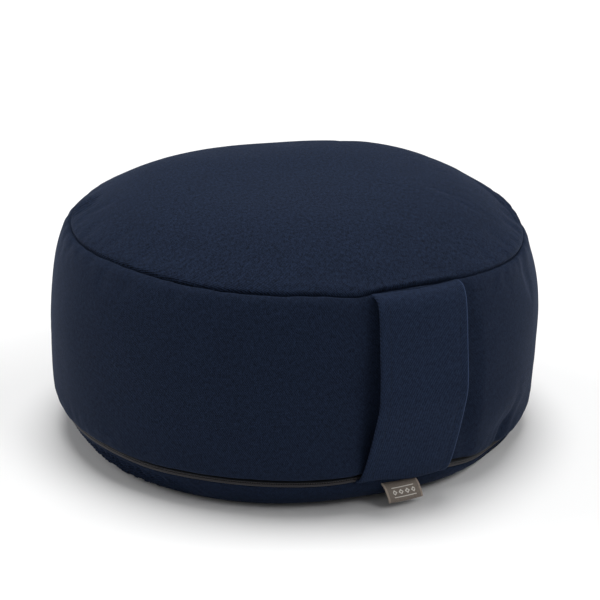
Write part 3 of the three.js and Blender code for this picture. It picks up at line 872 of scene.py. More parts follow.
def stitch_mesh(name, centres, tangents, normals, length, radius):
    """Short threads that lie on a cloth, each a small rounded bar."""
    vertices = []
    faces = []
    rings = ((-0.5, 0.35), (-0.3, 0.95), (0, 1.1), (0.3, 0.95), (0.5, 0.35))
    around = 6
    for centre, tangent, normal in zip(centres, tangents, normals):
        sideways = np.cross(tangent, normal)
        start = len(vertices)
        for place, width in rings:
            dive = -0.5 * radius * (abs(place) * 2) ** 2
            for step in range(around):
                turn = 2 * math.pi * step / around
                lean = sideways * math.cos(turn) + normal * math.sin(turn)
                vertices.append(centre + tangent * place * length + lean * radius * width + normal * dive)
        for ring in range(len(rings) - 1):
            for step in range(around):
                after = (step + 1) % around
                near = start + ring * around
                far = near + around
                faces.append((near + step, near + after, far + after, far + step))
        faces.append(tuple(start + step for step in reversed(range(around))))
        faces.append(tuple(start + (len(rings) - 1) * around + step for step in range(around)))
    return make_mesh(name, vertices, faces)


def on_path(values, place):
    """The strap's path or its normal at a distance along it."""
    return np.array([np.interp(place, path_along, values[:, axis]) for axis in (0, 1)])


def strap_stitches():
    threads = []
    pitch = 3.1
    inset = STRAP_WIDTH / 2 - STRAP_STITCH_INSET
    for name, low, high in (("strap_topstitch_upper", 12, path_along[strap_break]),
                            ("strap_topstitch_lower", path_along[strap_break], path_along[-1] - 6)):
        places = np.arange(low + pitch / 2, high - pitch / 3, pitch)
        centres, tangents, normals = [], [], []
        for side in (-inset, inset):
            for place in places:
                spots = []
                for near in (place - 0.8, place, place + 0.8):
                    out = strap_offset(side, 1) + strap_wander(near, side) + 0.08
                    point, normal = on_path(path_points, near), on_path(path_normals, near)
                    spots.append(strap_surface(point, normal, side, out))
                tangent = spots[2] - spots[0]
                tangent /= np.linalg.norm(tangent)
                outward = np.cross(np.array([1.0, 0, 0]), tangent)
                outward /= np.linalg.norm(outward)
                centres.append(spots[1])
                tangents.append(tangent)
                normals.append(-outward if outward[1] > 0 else outward)
        threads.append(stitch_mesh(name, centres, tangents, normals, 2.3 * MM, 0.13 * MM))
    return threads


strap_upper, strap_lower = strap_halves()
stitches_upper, stitches_lower = strap_stitches()

# ---- woven label and care label

LABEL_WIDTH = 24
LABEL_LAYER = 0.38
LABEL_CENTRE_X = -10.2
LABEL_LEAN = -0.18
LABEL_PIVOT_Z = 18  # the height about which the label leans and curls

label_path = np.array([
    [152.5, 15.1], [155.6, 14.9], [158.0, 14.1], [160.4, 12.0], [162.0, 9.0], [163.0, 6.6], [163.3, 4.4],
])


def folded_label():
    """A strip that runs down the front, folds at the bottom and runs back up behind."""
    line, _ = spline_through(label_path, 34)
    normal = normals_2d(line)
    gap = 0.12
    fold_centre = line[-1]
    down = np.array([normal[-1][1], -normal[-1][0]])
    if down[1] > 0:
        down = -down

    def layer(offset):
        """One face of the strip: down the front, round the fold and up the back."""
        turns = np.linspace(0, math.pi, 9)[1:-1]
        fold = [fold_centre + (normal[-1] * math.cos(t) + down * math.sin(t)) * offset for t in turns]
        return np.concatenate([line + normal * offset, fold, (line - normal * offset)[::-1]])

    outside = layer(gap + LABEL_LAYER)
    section = np.concatenate([outside, layer(gap)[::-1]])
    run = distances(outside)
    runs = np.concatenate([run, run[::-1], run[:1]])
    edge = [11.6, 11.9, 12]
    sides = np.concatenate([-np.array(edge[::-1]), np.linspace(-11, 11, 23), edge]) * LABEL_WIDTH / 24
    below = LABEL_PIVOT_Z - section[:, 1]
    points = np.zeros((len(section), len(sides), 3))
    for column, side in enumerate(sides):
        x = LABEL_CENTRE_X + side - LABEL_LEAN * below
        curl = 0.35 * (side / 12) ** 2 * smooth(below, 2, 15)
        reach = section[:, 0] - curl - belly_rounding(x) * 0.8
        points[:, column] = np.stack([x, -reach, section[:, 1]], axis=-1) * MM
    flat = np.stack(np.broadcast_arrays(sides[None, :], runs[:, None]), axis=-1) * MM
    made = loft("woven_label_cloth", points, flat, wrap_rows=True, wrap_columns=False)
    close_sides(made, flat)
    return made, float(run[-1]) * MM


label, LABEL_LENGTH = folded_label()


def thin_patch(name, node, curl):
    """A small flat ribbon in the place of a CAD solid, with a slight curl."""
    low, high = box_mm(node)
    width, length = high[0] - low[0], high[2] - low[2]
    across_steps = np.linspace(0, 1, 13)
    up_steps = np.linspace(0, 1, 17)
    side, up = np.meshgrid(across_steps, up_steps)
    bend = curl * np.sin(math.pi * up) * (0.6 + 0.4 * np.sin(3 * side))
    front = np.stack([low[0] + width * side, high[1] - bend, low[2] + length * up], axis=-1)
    back = front - np.array([0, 0.35, 0])
    ring = np.concatenate([front, back[::-1]])
    up_marks = np.concatenate([up_steps, up_steps[::-1], up_steps[:1]]) * length
    flat = np.stack(np.broadcast_arrays(across_steps[None, :] * width, up_marks[:, None]), axis=-1) * MM
    made = loft(name, ring * MM, flat, wrap_rows=True, wrap_columns=False)
    close_sides(made, flat)
    return made


care_label = thin_patch("care_label_ribbon", "care_label", 0.25)

# ---- zippers

JOIN_HALF = 0.4  # half the gap at the back, where the tapes are sewn together
TAPE_RADIUS = 155  # of the inside of the tapes, for turning the gap into an angle
ZIPPER_SLIT_Z = (tape_low[2] + tape_foot_high[2]) / 2 - 0.6
BAG_BELLY_Z = 80
INNER_ZIPPER_RADIUS = 158.4


def arc_angles(start, end):
    """Angles in radians from start to end in degrees, about 0.75 degrees apart."""
    count = max(int(abs(end - start) / 0.75), 8)
    return np.radians(np.linspace(start, end, count + 1))


def open_loft(name, section, turns, drop, inset, strip_radius, squeeze=0.0):
    """A closed section of [radius, height] pairs carried along an arc, with both ends closed.

    squeeze is how much lower the section gets, below its top, for each mm of drop."""
    section = np.asarray(section, float)
    radius = section[:, 0][:, None] - inset(turns)
    depth = section[:, 1].max() - section[:, 1][:, None]
    height = section[:, 1].max() - depth * (1 - squeeze * np.abs(drop(turns))) - drop(turns)
    points = turned(radius, height, turns)
    length = distances(section)
    length = np.append(length, length[-1] + 0.5)
    flat = np.stack(np.broadcast_arrays(turns[None, :] * strip_radius, length[:, None]), axis=-1) * MM
    made = loft(name, points, flat, wrap_rows=True, wrap_columns=False)
    with edited(made) as edit:
        bmesh.ops.holes_fill(edit, edges=[edge for edge in edit.edges if edge.is_boundary], sides=0)
    return made


def coil_wire(name, radius, height, turns_range, drop, inset):
    """A zipper coil: a fine helix laid along an arc."""
    pitch = 1.5
    wire = 0.24
    sides = 4
    start, end = np.radians(turns_range)
    loops = int((end - start) * radius / pitch)
    samples = loops * 8
    place = np.arange(samples + 1) / samples
    turn = start + (end - start) * place
    spin = 2 * math.pi * loops * place
    centre_r = radius - inset(turn) + 0.55 * np.cos(spin)
    centre_z = height - drop(turn) + 0.6 * np.sin(spin)
    rings = []
    for side in range(sides):
        lean = 2 * math.pi * side / sides
        rings.append(turned(
            centre_r + wire * math.cos(lean) * np.cos(spin),
            centre_z + wire * math.cos(lean) * np.sin(spin),
            turn + wire * math.sin(lean) / radius,
        ))
    flat = np.zeros((sides + 1, samples + 2, 2))
    return loft(name, np.stack(rings), flat, wrap_rows=True, wrap_columns=False)


def tape_section(inner, outer, far_z, lip_z, bulge, lip_width):
    """Section of a zipper tape: flat away from the chain, bulged out and folded at its lip."""
    grow = 1 if far_z < lip_z else -1
    gap = abs(lip_z - far_z)
    steps = 1 - np.linspace(1, 0, 18) ** 1.8
    rise = bulge * smooth(steps * gap, gap - lip_width - 0.6, gap - lip_width)
    face = [[outer + extra, far_z + grow * gap * step * 0.97] for step, extra in zip(steps, rise)]
    fold = [
        [outer + bulge - 0.12, lip_z - grow * 0.1],
        [outer + bulge - 0.42, lip_z],
        [outer + bulge - 0.8, lip_z - grow * 0.12],
    ]
    thickness = outer - inner
    back = [[point[0] - thickness, point[1]] for point in face[::-1]]
    return face + fold + back


def zipper_parts():
    join = math.degrees(JOIN_HALF / TAPE_RADIUS)
    turns = arc_angles(BACK_SEAM_ANGLE + join, BACK_SEAM_ANGLE + 360 - join)
    face = tape_high[0] - 0.9
    inner = face - 0.8
    slit = ZIPPER_SLIT_Z
    upper = tape_section(inner, face, tape_high[2], slit + 0.12, 2.7, 0.9)
    lower = tape_section(inner, face, tape_foot_low[2] + 2.0, slit - 0.12, 2.7, 1.6)
    lean = [[r - 1.4 * (1 - smooth(z, slit - 9.5, slit - 3)), z] for r, z in lower]
    made = [
        open_loft("zipper_tape_upper_cloth", upper, turns, zipper_drop, tuck, 157),
        open_loft("zipper_tape_lower_cloth", lean, turns, zipper_drop, tuck, 157, squeeze=0.03),
    ]
    limits = (BACK_SEAM_ANGLE + 1.2, BACK_SEAM_ANGLE + 358.8)
    for node in ("zipper_coil_upper", "zipper_coil_lower"):
        low, high = box_mm(node)
        middle = (low[2] + high[2]) / 2
        made.append(coil_wire(f"{node}_wire", high[0] - 0.85, middle, limits, zipper_drop, tuck))
    return made


tape_upper, tape_lower, coil_upper, coil_lower = zipper_parts()
TAPE_SHADE_LENGTH = tape_high[2] - ZIPPER_SLIT_Z + 1.4  # how much of the upper tape, from its far edge, gets painted shade: the near-black shadow under the band's folded lip


def level(turns):
    return 0 * turns


def inner_zipper_parts():
    made = []
    radius = INNER_ZIPPER_RADIUS
    for node, step in (("inner_zipper_tape_upper", 0.2), ("inner_zipper_tape_lower", -0.2)):
        low, high = box_mm(node)
        far_z = high[2] if step > 0 else low[2]
        section = tape_section(radius - 0.6, radius, far_z, BAG_BELLY_Z + step, 0.0, 1.0)
        made.append(open_loft(f"{node}_cloth", section, arc_angles(151.2, 208.8), level, level, radius))
    for node in ("inner_zipper_coil_upper", "inner_zipper_coil_lower"):
        low, high = box_mm(node)
        middle = (low[2] + high[2]) / 2
        made.append(coil_wire(f"{node}_wire", radius - 1.75, middle, (151.5, 208.5), level, level))
    return made


inner_tape_upper, inner_tape_lower, inner_coil_upper, inner_coil_lower = inner_zipper_parts()


def softened_metal(node, bevel):
    """A CAD metal piece with its edges rounded, in a mesh of its own."""
    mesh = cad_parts[node].data.copy()
    mesh.name = f"{node}_metal"
    mesh.materials.clear()
    made = add_object(mesh.name, mesh)
    with edited(made) as edit:
        bmesh.ops.remove_doubles(edit, verts=edit.verts, dist=1e-6)
        bmesh.ops.dissolve_limit(edit, angle_limit=math.radians(1), verts=edit.verts, edges=edit.edges)
        limit = math.radians(32)
        sharp = [edge for edge in edit.edges if edge.is_manifold and edge.calc_face_angle(0) > limit]
        bmesh.ops.bevel(edit, geom=sharp, offset=bevel * MM, offset_type="OFFSET", segments=2, profile=0.6,
                        affect="EDGES", clamp_overlap=True)
    mesh.polygons.foreach_set("use_smooth", [True] * len(mesh.polygons))
    mesh.set_sharp_from_angle(angle=math.radians(38))
    return made


# node, its body and how much its edges are rounded, in mm
METAL = (
    ("zipper_slider", "slider", 0.16),
    ("zipper_pull", "pull", 0.14),
    ("zipper_closed_end_stop", "cushion", 0.12),
    ("zipper_open_end_stop", "cushion", 0.12),
    ("inner_zipper_slider", "inner_slider", 0.16),
    ("inner_zipper_pull", "inner_slider", 0.14),
)
metal_pieces = {node: softened_metal(node, bevel) for node, _, bevel in METAL}

STOP_HEIGHT_SHARE = 0.6  # the open-end stop is lower than its CAD piece, to stay behind the lips
STOP_DROP = 0.3
for vertex in metal_pieces["zipper_open_end_stop"].data.vertices:
    slit = ZIPPER_SLIT_Z * MM
    vertex.co.z = slit + (vertex.co.z - slit) * STOP_HEIGHT_SHARE - STOP_DROP * MM

# ---- inner bag and filling

BAG = 0.8
BAG_COLUMNS = 360
bag_angles = np.arange(BAG_COLUMNS) * (2 * math.pi / BAG_COLUMNS)


def bag_lumps(radius, height, depth):
    small = lumps(radius, height, bag_angles, SMALL_WAVES)
    return depth * (0.6 * small + 0.4 * lumps(radius, height, bag_angles, BROAD_WAVES) - 0.9)


def skin_pair(radius, height, thickness, downwards):
    """Inner skin of rows that run from the axis outwards, or down a side."""
    dr, dz = np.gradient(radius, axis=0), np.gradient(height, axis=0)
    length = np.hypot(dr, dz) + 1e-9
    sign = 1 if downwards else -1
    return radius + sign * dz / length * thickness, height - sign * dr / length * thickness


def bag_top_rows():
    edge_r, edge_z = bag_top_high[0], bag_top_low[2]
    share = np.sin(np.linspace(0.04, math.pi / 2, 46))[:, None] * np.ones(BAG_COLUMNS)
    radius = edge_r * share
    height = edge_z + BAG + (bag_top_high[2] - edge_z - BAG) * (1 - share**DOME_POWER)
    height = height + bag_lumps(radius, height, 0.7) * (1 - share**8)
    return radius, height + np.minimum(slump(radius, bag_angles), 0)


def bag_round(name, rows, downwards, step):
    """The bag's round top or bottom panel, with every step-th row on its inner skin."""
    radius, height = rows
    inner_r, inner_z = skin_pair(radius, height, BAG, downwards)
    all_r = np.concatenate([radius, inner_r[::-step]])
    all_z = np.concatenate([height, inner_z[::-step]])
    return loft(name, turned(all_r, all_z, bag_angles), flat_disc(all_r, bag_angles),
                first_pole=pole(height[0].mean()), last_pole=pole(inner_z[0].mean()))


def bag_side_profile():
    seam_r, seam_z = bag_top_high[0], bag_band_high[2]
    foot_r, foot_z = bag_base_high[0], bag_band_low[2]
    belly = bag_band_high[0]
    turn = np.linspace(math.pi / 2, 0, 26)
    up_r, up_z = rounded(seam_r, seam_z, belly, BAG_BELLY_Z, SHOULDER_POWER, turn)
    turn = np.linspace(0, math.pi / 2, 26)[1:]
    down_r, down_z = rounded(foot_r, foot_z, belly, BAG_BELLY_Z, FOOT_POWER, turn)
    rows = np.ones(BAG_COLUMNS)
    return np.concatenate([up_r, down_r])[:, None] * rows, np.concatenate([up_z, down_z])[:, None] * rows


def bag_side_rows():
    radius, height = bag_side_profile()
    calm = smooth(np.abs(away(bag_angles, 180)), 32, 42)
    calm = 1 - (1 - calm) * bell(height - BAG_BELLY_Z, 14)
    radius = radius + bag_lumps(radius, height, 0.7) * calm - drawn_in(bag_angles, height)
    return radius, height + np.minimum(slump(150, bag_angles), 0) * smooth(height, 100, bag_band_high[2])


def bag_side():
    """The bag's side band, with a window for its zipper cut out."""
    radius, height = bag_side_rows()
    inner_r, inner_z = skin_pair(radius, height, BAG, True)
    all_r = np.concatenate([radius, inner_r[::-1]])
    all_z = np.concatenate([height, inner_z[::-1]])
    run = np.concatenate([[0], np.cumsum(np.hypot(np.diff(all_r[:, 0]), np.diff(all_z[:, 0])))])
    run = np.append(run, run[-1] + BAG)[:, None] * np.ones(BAG_COLUMNS)
    made = loft("inner_bag_side_band_cloth", turned(all_r, all_z, bag_angles),
                flat_strip(run, bag_angles, bag_band_high[0]), wrap_rows=True)
    with edited(made) as edit:
        window = []
        for face in edit.faces:
            centre = face.calc_center_median() / MM
            turn = math.atan2(centre.y, centre.x)
            if abs(away(turn, 180)) < 30 and abs(centre.z - BAG_BELLY_Z) < 4.0:
                window.append(face)
        bmesh.ops.delete(edit, geom=window, context="FACES")
        bmesh.ops.bridge_loops(edit, edges=[edge for edge in edit.edges if edge.is_boundary])
    return made


def bag_base_rows():
    foot_z = bag_base_low[2]
    share = np.linspace(0.05, 1, 34)[:, None] * np.ones(BAG_COLUMNS)
    turn = np.clip((share - 0.75) / 0.25, 0, 1) * (math.pi / 2)
    contact = contact_radius(bag_angles) - 4
    reach = bag_base_high[0] - tuck(bag_angles) - contact
    radius = np.where(share > 0.75, contact + reach * np.sin(turn), contact * share / 0.75)
    return radius, foot_z + np.where(share > 0.75, (bag_base_high[2] - foot_z) * (1 - np.cos(turn)), 0)



def husk_mass():
    """The loose filling as one lumpy mass that fills the bag."""
    top_r, top_z = bag_top_rows()
    side_r, side_z = bag_side_rows()
    base_r, base_z = bag_base_rows()
    radius = np.concatenate([top_r[:-1], side_r[1:-1], base_r[-2::-1]])
    height = np.concatenate([top_z[:-1], side_z[1:-1], base_z[-2::-1]])
    normal_r, normal_z = across(radius, height)
    grain = 0.45 * np.clip(lumps(radius, height, bag_angles, PUCKER_WAVES), -2, 1.6)
    gap = BAG + 2.0 - grain
    radius = np.maximum(radius - normal_r * gap, 1)
    height = height - normal_z * gap
    return loft("husk_filling_mass", turned(radius, height, bag_angles), flat_disc(radius, bag_angles),
                first_pole=pole(height[0].mean()), last_pole=pole(height[-1].mean()))


bag_top_panel = bag_round("inner_bag_top_panel_cloth", bag_top_rows(), True, 3)
bag_side_band = bag_side()
bag_bottom_panel = bag_round("inner_bag_bottom_panel_cloth", bag_base_rows(), False, 2)
husks = husk_mass()

# ---- materials


class Value:
    """A shader socket that adds, subtracts and multiplies like a number."""

    def __init__(self, graph, socket):
        self.graph = graph
        self.socket = socket

    def __add__(self, other):
        return self.graph.math("ADD", self, other)

    def __sub__(self, other):
        return self.graph.math("SUBTRACT", self, other)

    def __rsub__(self, other):
        return self.graph.math("SUBTRACT", other, self)

    def __mul__(self, other):
        return self.graph.math("MULTIPLY", self, other)

    def __abs__(self):
        return self.graph.math("ABSOLUTE", self)


class Graph:
    """A short way to write shader nodes for one material."""

    def __init__(self, name):
        self.material = bpy.data.materials.new(name)
        self.material.use_nodes = True
        self.tree = self.material.node_tree
        self.shader = self.tree.nodes["Principled BSDF"]

    def node(self, kind, *inputs, **settings):
        """A node with its settings, and its first inputs linked or set in turn."""
        made = self.tree.nodes.new(kind)
        for key, value in settings.items():
            setattr(made, key, value)
        for socket, value in zip(made.inputs, inputs):
            self.feed(value, socket)
        return made

    def feed(self, value, socket):
        """Links a value to a socket, or sets a number or colour on it."""
        if isinstance(value, Value):
            self.tree.links.new(value.socket, socket)
        elif isinstance(value, tuple) and len(socket.default_value) > len(value):
            socket.default_value = (*value, 1)
        else:
            socket.default_value = value

    def math(self, operation, *inputs):
        return Value(self, self.node("ShaderNodeMath", *inputs, operation=operation).outputs[0])

    def noise(self, vector, scale, detail=2.0, roughness=0.5):
        made = self.node("ShaderNodeTexNoise")
        settings = {"Vector": vector, "Scale": scale, "Detail": detail, "Roughness": roughness}
        for key, value in settings.items():
            self.feed(value, made.inputs[key])
        return Value(self, made.outputs["Fac"])

    def scaled(self, vector, factors):
        made = self.node("ShaderNodeVectorMath", vector, factors, operation="MULTIPLY")
        return Value(self, made.outputs[0])

    def ramp(self, value, *stops):
        made = self.node("ShaderNodeValToRGB", value)
        elements = made.color_ramp.elements
        for index, (place, colour) in enumerate(stops):
            element = elements[index] if index < 2 else elements.new(place)
            element.position = place
            element.color = (*colour, 1)
        return Value(self, made.outputs["Color"])

    def mix(self, share, first, second):
        made = self.node("ShaderNodeMix", share, data_type="RGBA")
        self.feed(first, made.inputs[6])
        self.feed(second, made.inputs[7])
        return Value(self, made.outputs[2])

    def wave(self, phase):
        """A sine wave from 0 to 1."""
        return self.math("SINE", phase) * 0.5 + 0.5

    def bump(self, height, strength, distance):
        made = self.node("ShaderNodeBump")
        for key, value in (("Strength", strength), ("Distance", distance), ("Height", height)):
            self.feed(value, made.inputs[key])
        self.tree.links.new(made.outputs["Normal"], self.shader.inputs["Normal"])

    def cloth_place(self):
        """Flat-cloth place in millimetres, as a vector and as two numbers."""
        spot = self.node("ShaderNodeUVMap", uv_map="cloth")
        place = self.scaled(Value(self, spot.outputs["UV"]), (1000, 1000, 1000))
        parts = self.node("ShaderNodeSeparateXYZ", place)
        return place, Value(self, parts.outputs[0]), Value(self, parts.outputs[1])

    def object_place(self):
        """Place in the object's own frame, in millimetres."""
        spot = self.node("ShaderNodeTexCoord")
        return self.scaled(Value(self, spot.outputs["Object"]), (1000, 1000, 1000))

    def finish(self, colour, roughness, **values):
        """Gives the material its colour, roughness and other values, and hands it over."""
        self.feed(colour, self.shader.inputs["Base Color"])
        self.feed(roughness, self.shader.inputs["Roughness"])
        for key, value in values.items():
            self.feed(value, self.shader.inputs[key.replace("_", " ")])
        return self.material


def linear(red, green, blue):
    """Linear colour from the usual 0 to 255 numbers."""
    out = []
    for value in (red, green, blue):
        value /= 255
        out.append(value / 12.92 if value <= 0.04045 else ((value + 0.055) / 1.055) ** 2.4)
    return tuple(out)


def shade(colour, factor):
    return tuple(min(channel * factor, 1) for channel in colour)


def twill(name, colour, steep, contrast, lit_edge_highlight=False):
    """Fine cotton twill: diagonal ribs of yarn, uneven yarns, flecks and a soft bloom, and for the strap a
    painted highlight along its lit folded edge.
    """
    graph = Graph(name)
    place, u, v = graph.cloth_place()
    waver = graph.noise(place, 0.35, 3.0, 0.6)
    rib = graph.wave((u + v * steep) * (2 * math.pi / 1.15) + waver * 3.2)
    yarn = graph.noise(graph.scaled(place, (2.6, 0.32, 1)), 1.0, 2.0, 0.6)
    fleck = graph.noise(place, 1.25, 2.0, 0.7)
    patch = graph.noise(place, 0.045, 3.0, 0.55)
    mottle = graph.noise(place, 0.42, 2.0, 0.6)
    # The ribs are the twill's weave pattern. In the colour, their lighter crowns are also painted sheen and
    # their darker valleys painted shade.
    tone = rib * 0.14 + yarn * 0.30 + fleck * 0.32 + mottle * 0.22 + patch * 0.04
    dark, bright = shade(colour, 1 - 0.55 * contrast), shade(colour, 1 + 0.7 * contrast)
    shown = graph.ramp(tone, (0.40, dark), (0.51, colour), (0.61, bright))
    # Painted highlight: a thin bright line near the strap's right folded edge, where the fold catches the
    # light.
    if lit_edge_highlight:
        near = abs(u - (STRAP_WIDTH - 1.7))
        edge_highlight = graph.math("MAXIMUM", 1.0 - near * 1.2, 0.0)
        shown = graph.mix(edge_highlight * 0.9, shown, shade(colour, 3.0))
    graph.bump(rib * 0.6 + yarn * 0.5 + fleck * 0.5, 0.32, 0.00022)
    return graph.finish(
        shown,
        fleck * 0.12 + 0.82,
        Specular_IOR_Level=0.08,
        Sheen_Weight=0.06,
        Sheen_Roughness=0.35,
        Sheen_Tint=(0.45, 0.6, 1.0),
    )


def plain_weave(name, colour, pitch, contrast, bloom):
    """Plain weave: crossing yarns with small differences between them."""
    graph = Graph(name)
    place, u, v = graph.cloth_place()
    turn = 2 * math.pi / pitch
    check = graph.math("SINE", u * turn) * graph.math("SINE", v * turn)
    slub = graph.noise(graph.scaled(place, (1.6, 0.12, 1)), 1.0, 3.0, 0.6)
    cross = graph.noise(graph.scaled(place, (0.12, 1.6, 1)), 1.0, 3.0, 0.6)
    patch = graph.noise(place, 0.05, 3.0, 0.5)
    tone = slub * 0.4 + cross * 0.4 + patch * 0.2 + check * 0.06
    dark, bright = shade(colour, 1 - contrast), shade(colour, 1 + contrast)
    shown = graph.ramp(tone, (0.3, dark), (0.52, colour), (0.75, bright))
    graph.bump(check * 0.35 + tone, 0.35, 0.0002)
    return graph.finish(shown, patch * 0.1 + 0.83, Specular_IOR_Level=0.25, Sheen_Weight=bloom,
                        Sheen_Roughness=0.5)


def tape_weave(name, colour, sewn=0):
    """Woven zipper tape, a fine herringbone. The first sewn mm from its far edge get painted shade in
    near-black navy, the shadow in the recess under the band's folded lip.
    """
    graph = Graph(name)
    place, u, v = graph.cloth_place()
    zig = graph.math("PINGPONG", v, 1.1)
    rib = graph.wave((u + zig * 1.2) * (2 * math.pi / 0.9))
    yarn = graph.noise(graph.scaled(place, (0.5, 2.2, 1)), 1.0, 2.0, 0.6)
    tone = rib * 0.4 + yarn * 0.6
    shown = graph.ramp(tone, (0.25, shade(colour, 0.7)), (0.5, colour), (0.8, shade(colour, 1.3)))
    # Painted shade: the recessed top of the tape, under the band's lip, turns near-black navy.
    if sewn:
        shown = graph.mix(graph.math("LESS_THAN", v, sewn), shown, shade(NAVY, 0.25))
    graph.bump(tone, 0.5, 0.0002)
    return graph.finish(shown, yarn * 0.15 + 0.66, Specular_IOR_Level=0.35, Sheen_Weight=0.1)


def label_weave(name, colour, mark):
    """Woven ribbon with plain selvages and a row of small woven diamonds, a motif of no meaning."""
    graph = Graph(name)
    place, u, v = graph.cloth_place()
    ribs = graph.math("SINE", v * (2 * math.pi / 0.55))
    yarn = graph.noise(graph.scaled(place, (2.4, 0.4, 1)), 1.0, 2.0, 0.6)
    dark, bright = shade(colour, 0.72), shade(colour, 1.25)
    ground = graph.ramp(ribs * 0.12 + yarn, (0.25, dark), (0.5, colour), (0.8, bright))
    selvage = graph.math("GREATER_THAN", abs(u), 10.9)
    ground = graph.mix(selvage * 0.75, ground, shade(colour, 2.1))
    step = 4.4
    cell = graph.math("PINGPONG", u + 100 * step, step / 2)
    from_row = abs(v - 12.0)
    inside = (step / 2 - cell) + from_row
    outline = graph.math("LESS_THAN", inside, 1.75) * graph.math("GREATER_THAN", inside, 0.75)
    line = graph.math("LESS_THAN", abs(from_row - 3.1), 0.28)
    shape = graph.math("MAXIMUM", outline, line) * graph.math("LESS_THAN", abs(u), 7.7)
    shown = graph.mix(shape * (ribs * 0.12 + 0.82), ground, mark)
    graph.bump(ribs * 0.4 + shape, 0.45, 0.00018)
    return graph.finish(shown, yarn * 0.15 + 0.6, Specular_IOR_Level=0.35, Sheen_Weight=0.12)


def thread(name, colour):
    """Twisted sewing thread."""
    graph = Graph(name)
    ply = graph.noise(graph.object_place(), 3.2, 1.0)
    shown = graph.ramp(ply, (0.3, shade(colour, 0.75)), (0.5, colour), (0.75, shade(colour, 1.4)))
    graph.bump(ply, 0.4, 0.0001)
    return graph.finish(shown, 0.7, Specular_IOR_Level=0.15, Sheen_Weight=0.03)


def brushed_metal(name, colour):
    """Gunmetal zipper parts with rubbed, slightly uneven plating."""
    graph = Graph(name)
    place = graph.object_place()
    cloud = graph.noise(place, 0.8, 3.0, 0.6)
    scratch = graph.noise(graph.scaled(place, (6, 0.5, 6)), 1.0, 2.0, 0.6)
    shown = graph.ramp(cloud, (0.3, shade(colour, 0.8)), (0.55, colour), (0.8, shade(colour, 1.35)))
    graph.bump(scratch, 0.15, 0.00005)
    return graph.finish(shown, scratch * 0.22 + 0.18 + cloud * 0.12, Metallic=1.0)


def nylon_coil(name, colour):
    graph = Graph(name)
    cloud = graph.noise(graph.object_place(), 1.4, 2.0)
    shown = graph.ramp(cloud, (0.3, shade(colour, 0.8)), (0.7, shade(colour, 1.2)))
    return graph.finish(shown, cloud * 0.15 + 0.3, Specular_IOR_Level=0.5)


def husk_surface(name, colour):
    """Loose hulls: small overlapping flakes of several browns."""
    graph = Graph(name)
    flakes = graph.node("ShaderNodeTexVoronoi", graph.object_place(), feature="F1")
    flakes.inputs["Scale"].default_value = 0.32
    tone = graph.node("ShaderNodeSeparateColor", Value(graph, flakes.outputs["Color"]))
    dark, bright = shade(colour, 0.45), shade(colour, 1.9)
    shown = graph.ramp(Value(graph, tone.outputs[0]), (0.1, dark), (0.5, colour), (0.95, bright))
    graph.bump(Value(graph, flakes.outputs["Distance"]), 0.8, 0.0012)
    return graph.finish(shown, Value(graph, tone.outputs[1]) * 0.3 + 0.5, Specular_IOR_Level=0.3)


NAVY = linear(22, 31, 48.5)
cover_twill = twill("navy_twill", NAVY, 0.62, 0.95)
top_twill = twill("navy_twill_top", NAVY, 0.62, 1.4)
# The strap is the same navy twill as the band. Its colour is 1.28 times lighter as painted light, for the
# light its outward-leaning face catches.
strap_twill = twill("navy_twill_strap", shade(NAVY, 1.28), -0.45, 0.9, lit_edge_highlight=True)
navy_thread = thread("navy_thread", shade(NAVY, 0.8))
taupe_tape = tape_weave("taupe_zipper_tape", linear(46, 44, 47))
upper_tape = tape_weave("taupe_zipper_tape_upper", linear(46, 44, 47), TAPE_SHADE_LENGTH)
dark_coil = nylon_coil("dark_zipper_coil", linear(48, 45, 45))
gunmetal = brushed_metal("gunmetal", linear(128, 128, 131))
label_ribbon = label_weave("taupe_label_ribbon", linear(120, 110, 101), linear(228, 224, 216))
care_ribbon = plain_weave("white_care_ribbon", linear(226, 224, 217), 0.5, 0.08, 0.05)
bag_cotton = plain_weave("natural_bag_cotton", linear(205, 194, 172), 0.8, 0.16, 0.15)
bag_tape = tape_weave("natural_zipper_tape", linear(208, 199, 182))
bag_coil = nylon_coil("white_zipper_coil", linear(214, 210, 200))
husk_brown = husk_surface("husks", linear(104, 78, 54))

# ---- bodies and materials of the pieces


def place_piece(made, body, material, node):
    made.data.materials.append(material)
    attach(made, body)
    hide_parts(node)


for made, slot, material, node in (
    (top_panel, "cover_twill", top_twill, "cover_top_panel"),
    (side_band, "cover_twill", cover_twill, "cover_side_band"),
    (bottom_panel, "cover_twill", cover_twill, "cover_bottom_panel"),
    (label, "label_ribbon", label_ribbon, "woven_label"),
    (care_label, "care_ribbon", care_ribbon, "care_label"),
    (tape_upper, "zipper_tape", upper_tape, "zipper_tape_upper"),
    (tape_lower, "zipper_tape", taupe_tape, "zipper_tape_lower"),
    (coil_upper, "zipper_coil", dark_coil, "zipper_coil_upper"),
    (coil_lower, "zipper_coil", dark_coil, "zipper_coil_lower"),
    (bag_top_panel, "bag_cotton", bag_cotton, "inner_bag_top_panel"),
    (bag_side_band, "bag_cotton", bag_cotton, "inner_bag_side_band"),
    (bag_bottom_panel, "bag_cotton", bag_cotton, "inner_bag_bottom_panel"),
    (inner_tape_upper, "bag_tape", bag_tape, "inner_zipper_tape_upper"),
    (inner_tape_lower, "bag_tape", bag_tape, "inner_zipper_tape_lower"),
    (inner_coil_upper, "bag_coil", bag_coil, "inner_zipper_coil_upper"),
    (inner_coil_lower, "bag_coil", bag_coil, "inner_zipper_coil_lower"),
    (husks, "husks", husk_brown, "husk_filling"),
):
    place_piece(made, "cushion", material, node)
for node, body, _ in METAL:
    place_piece(metal_pieces[node], body, gunmetal, node)

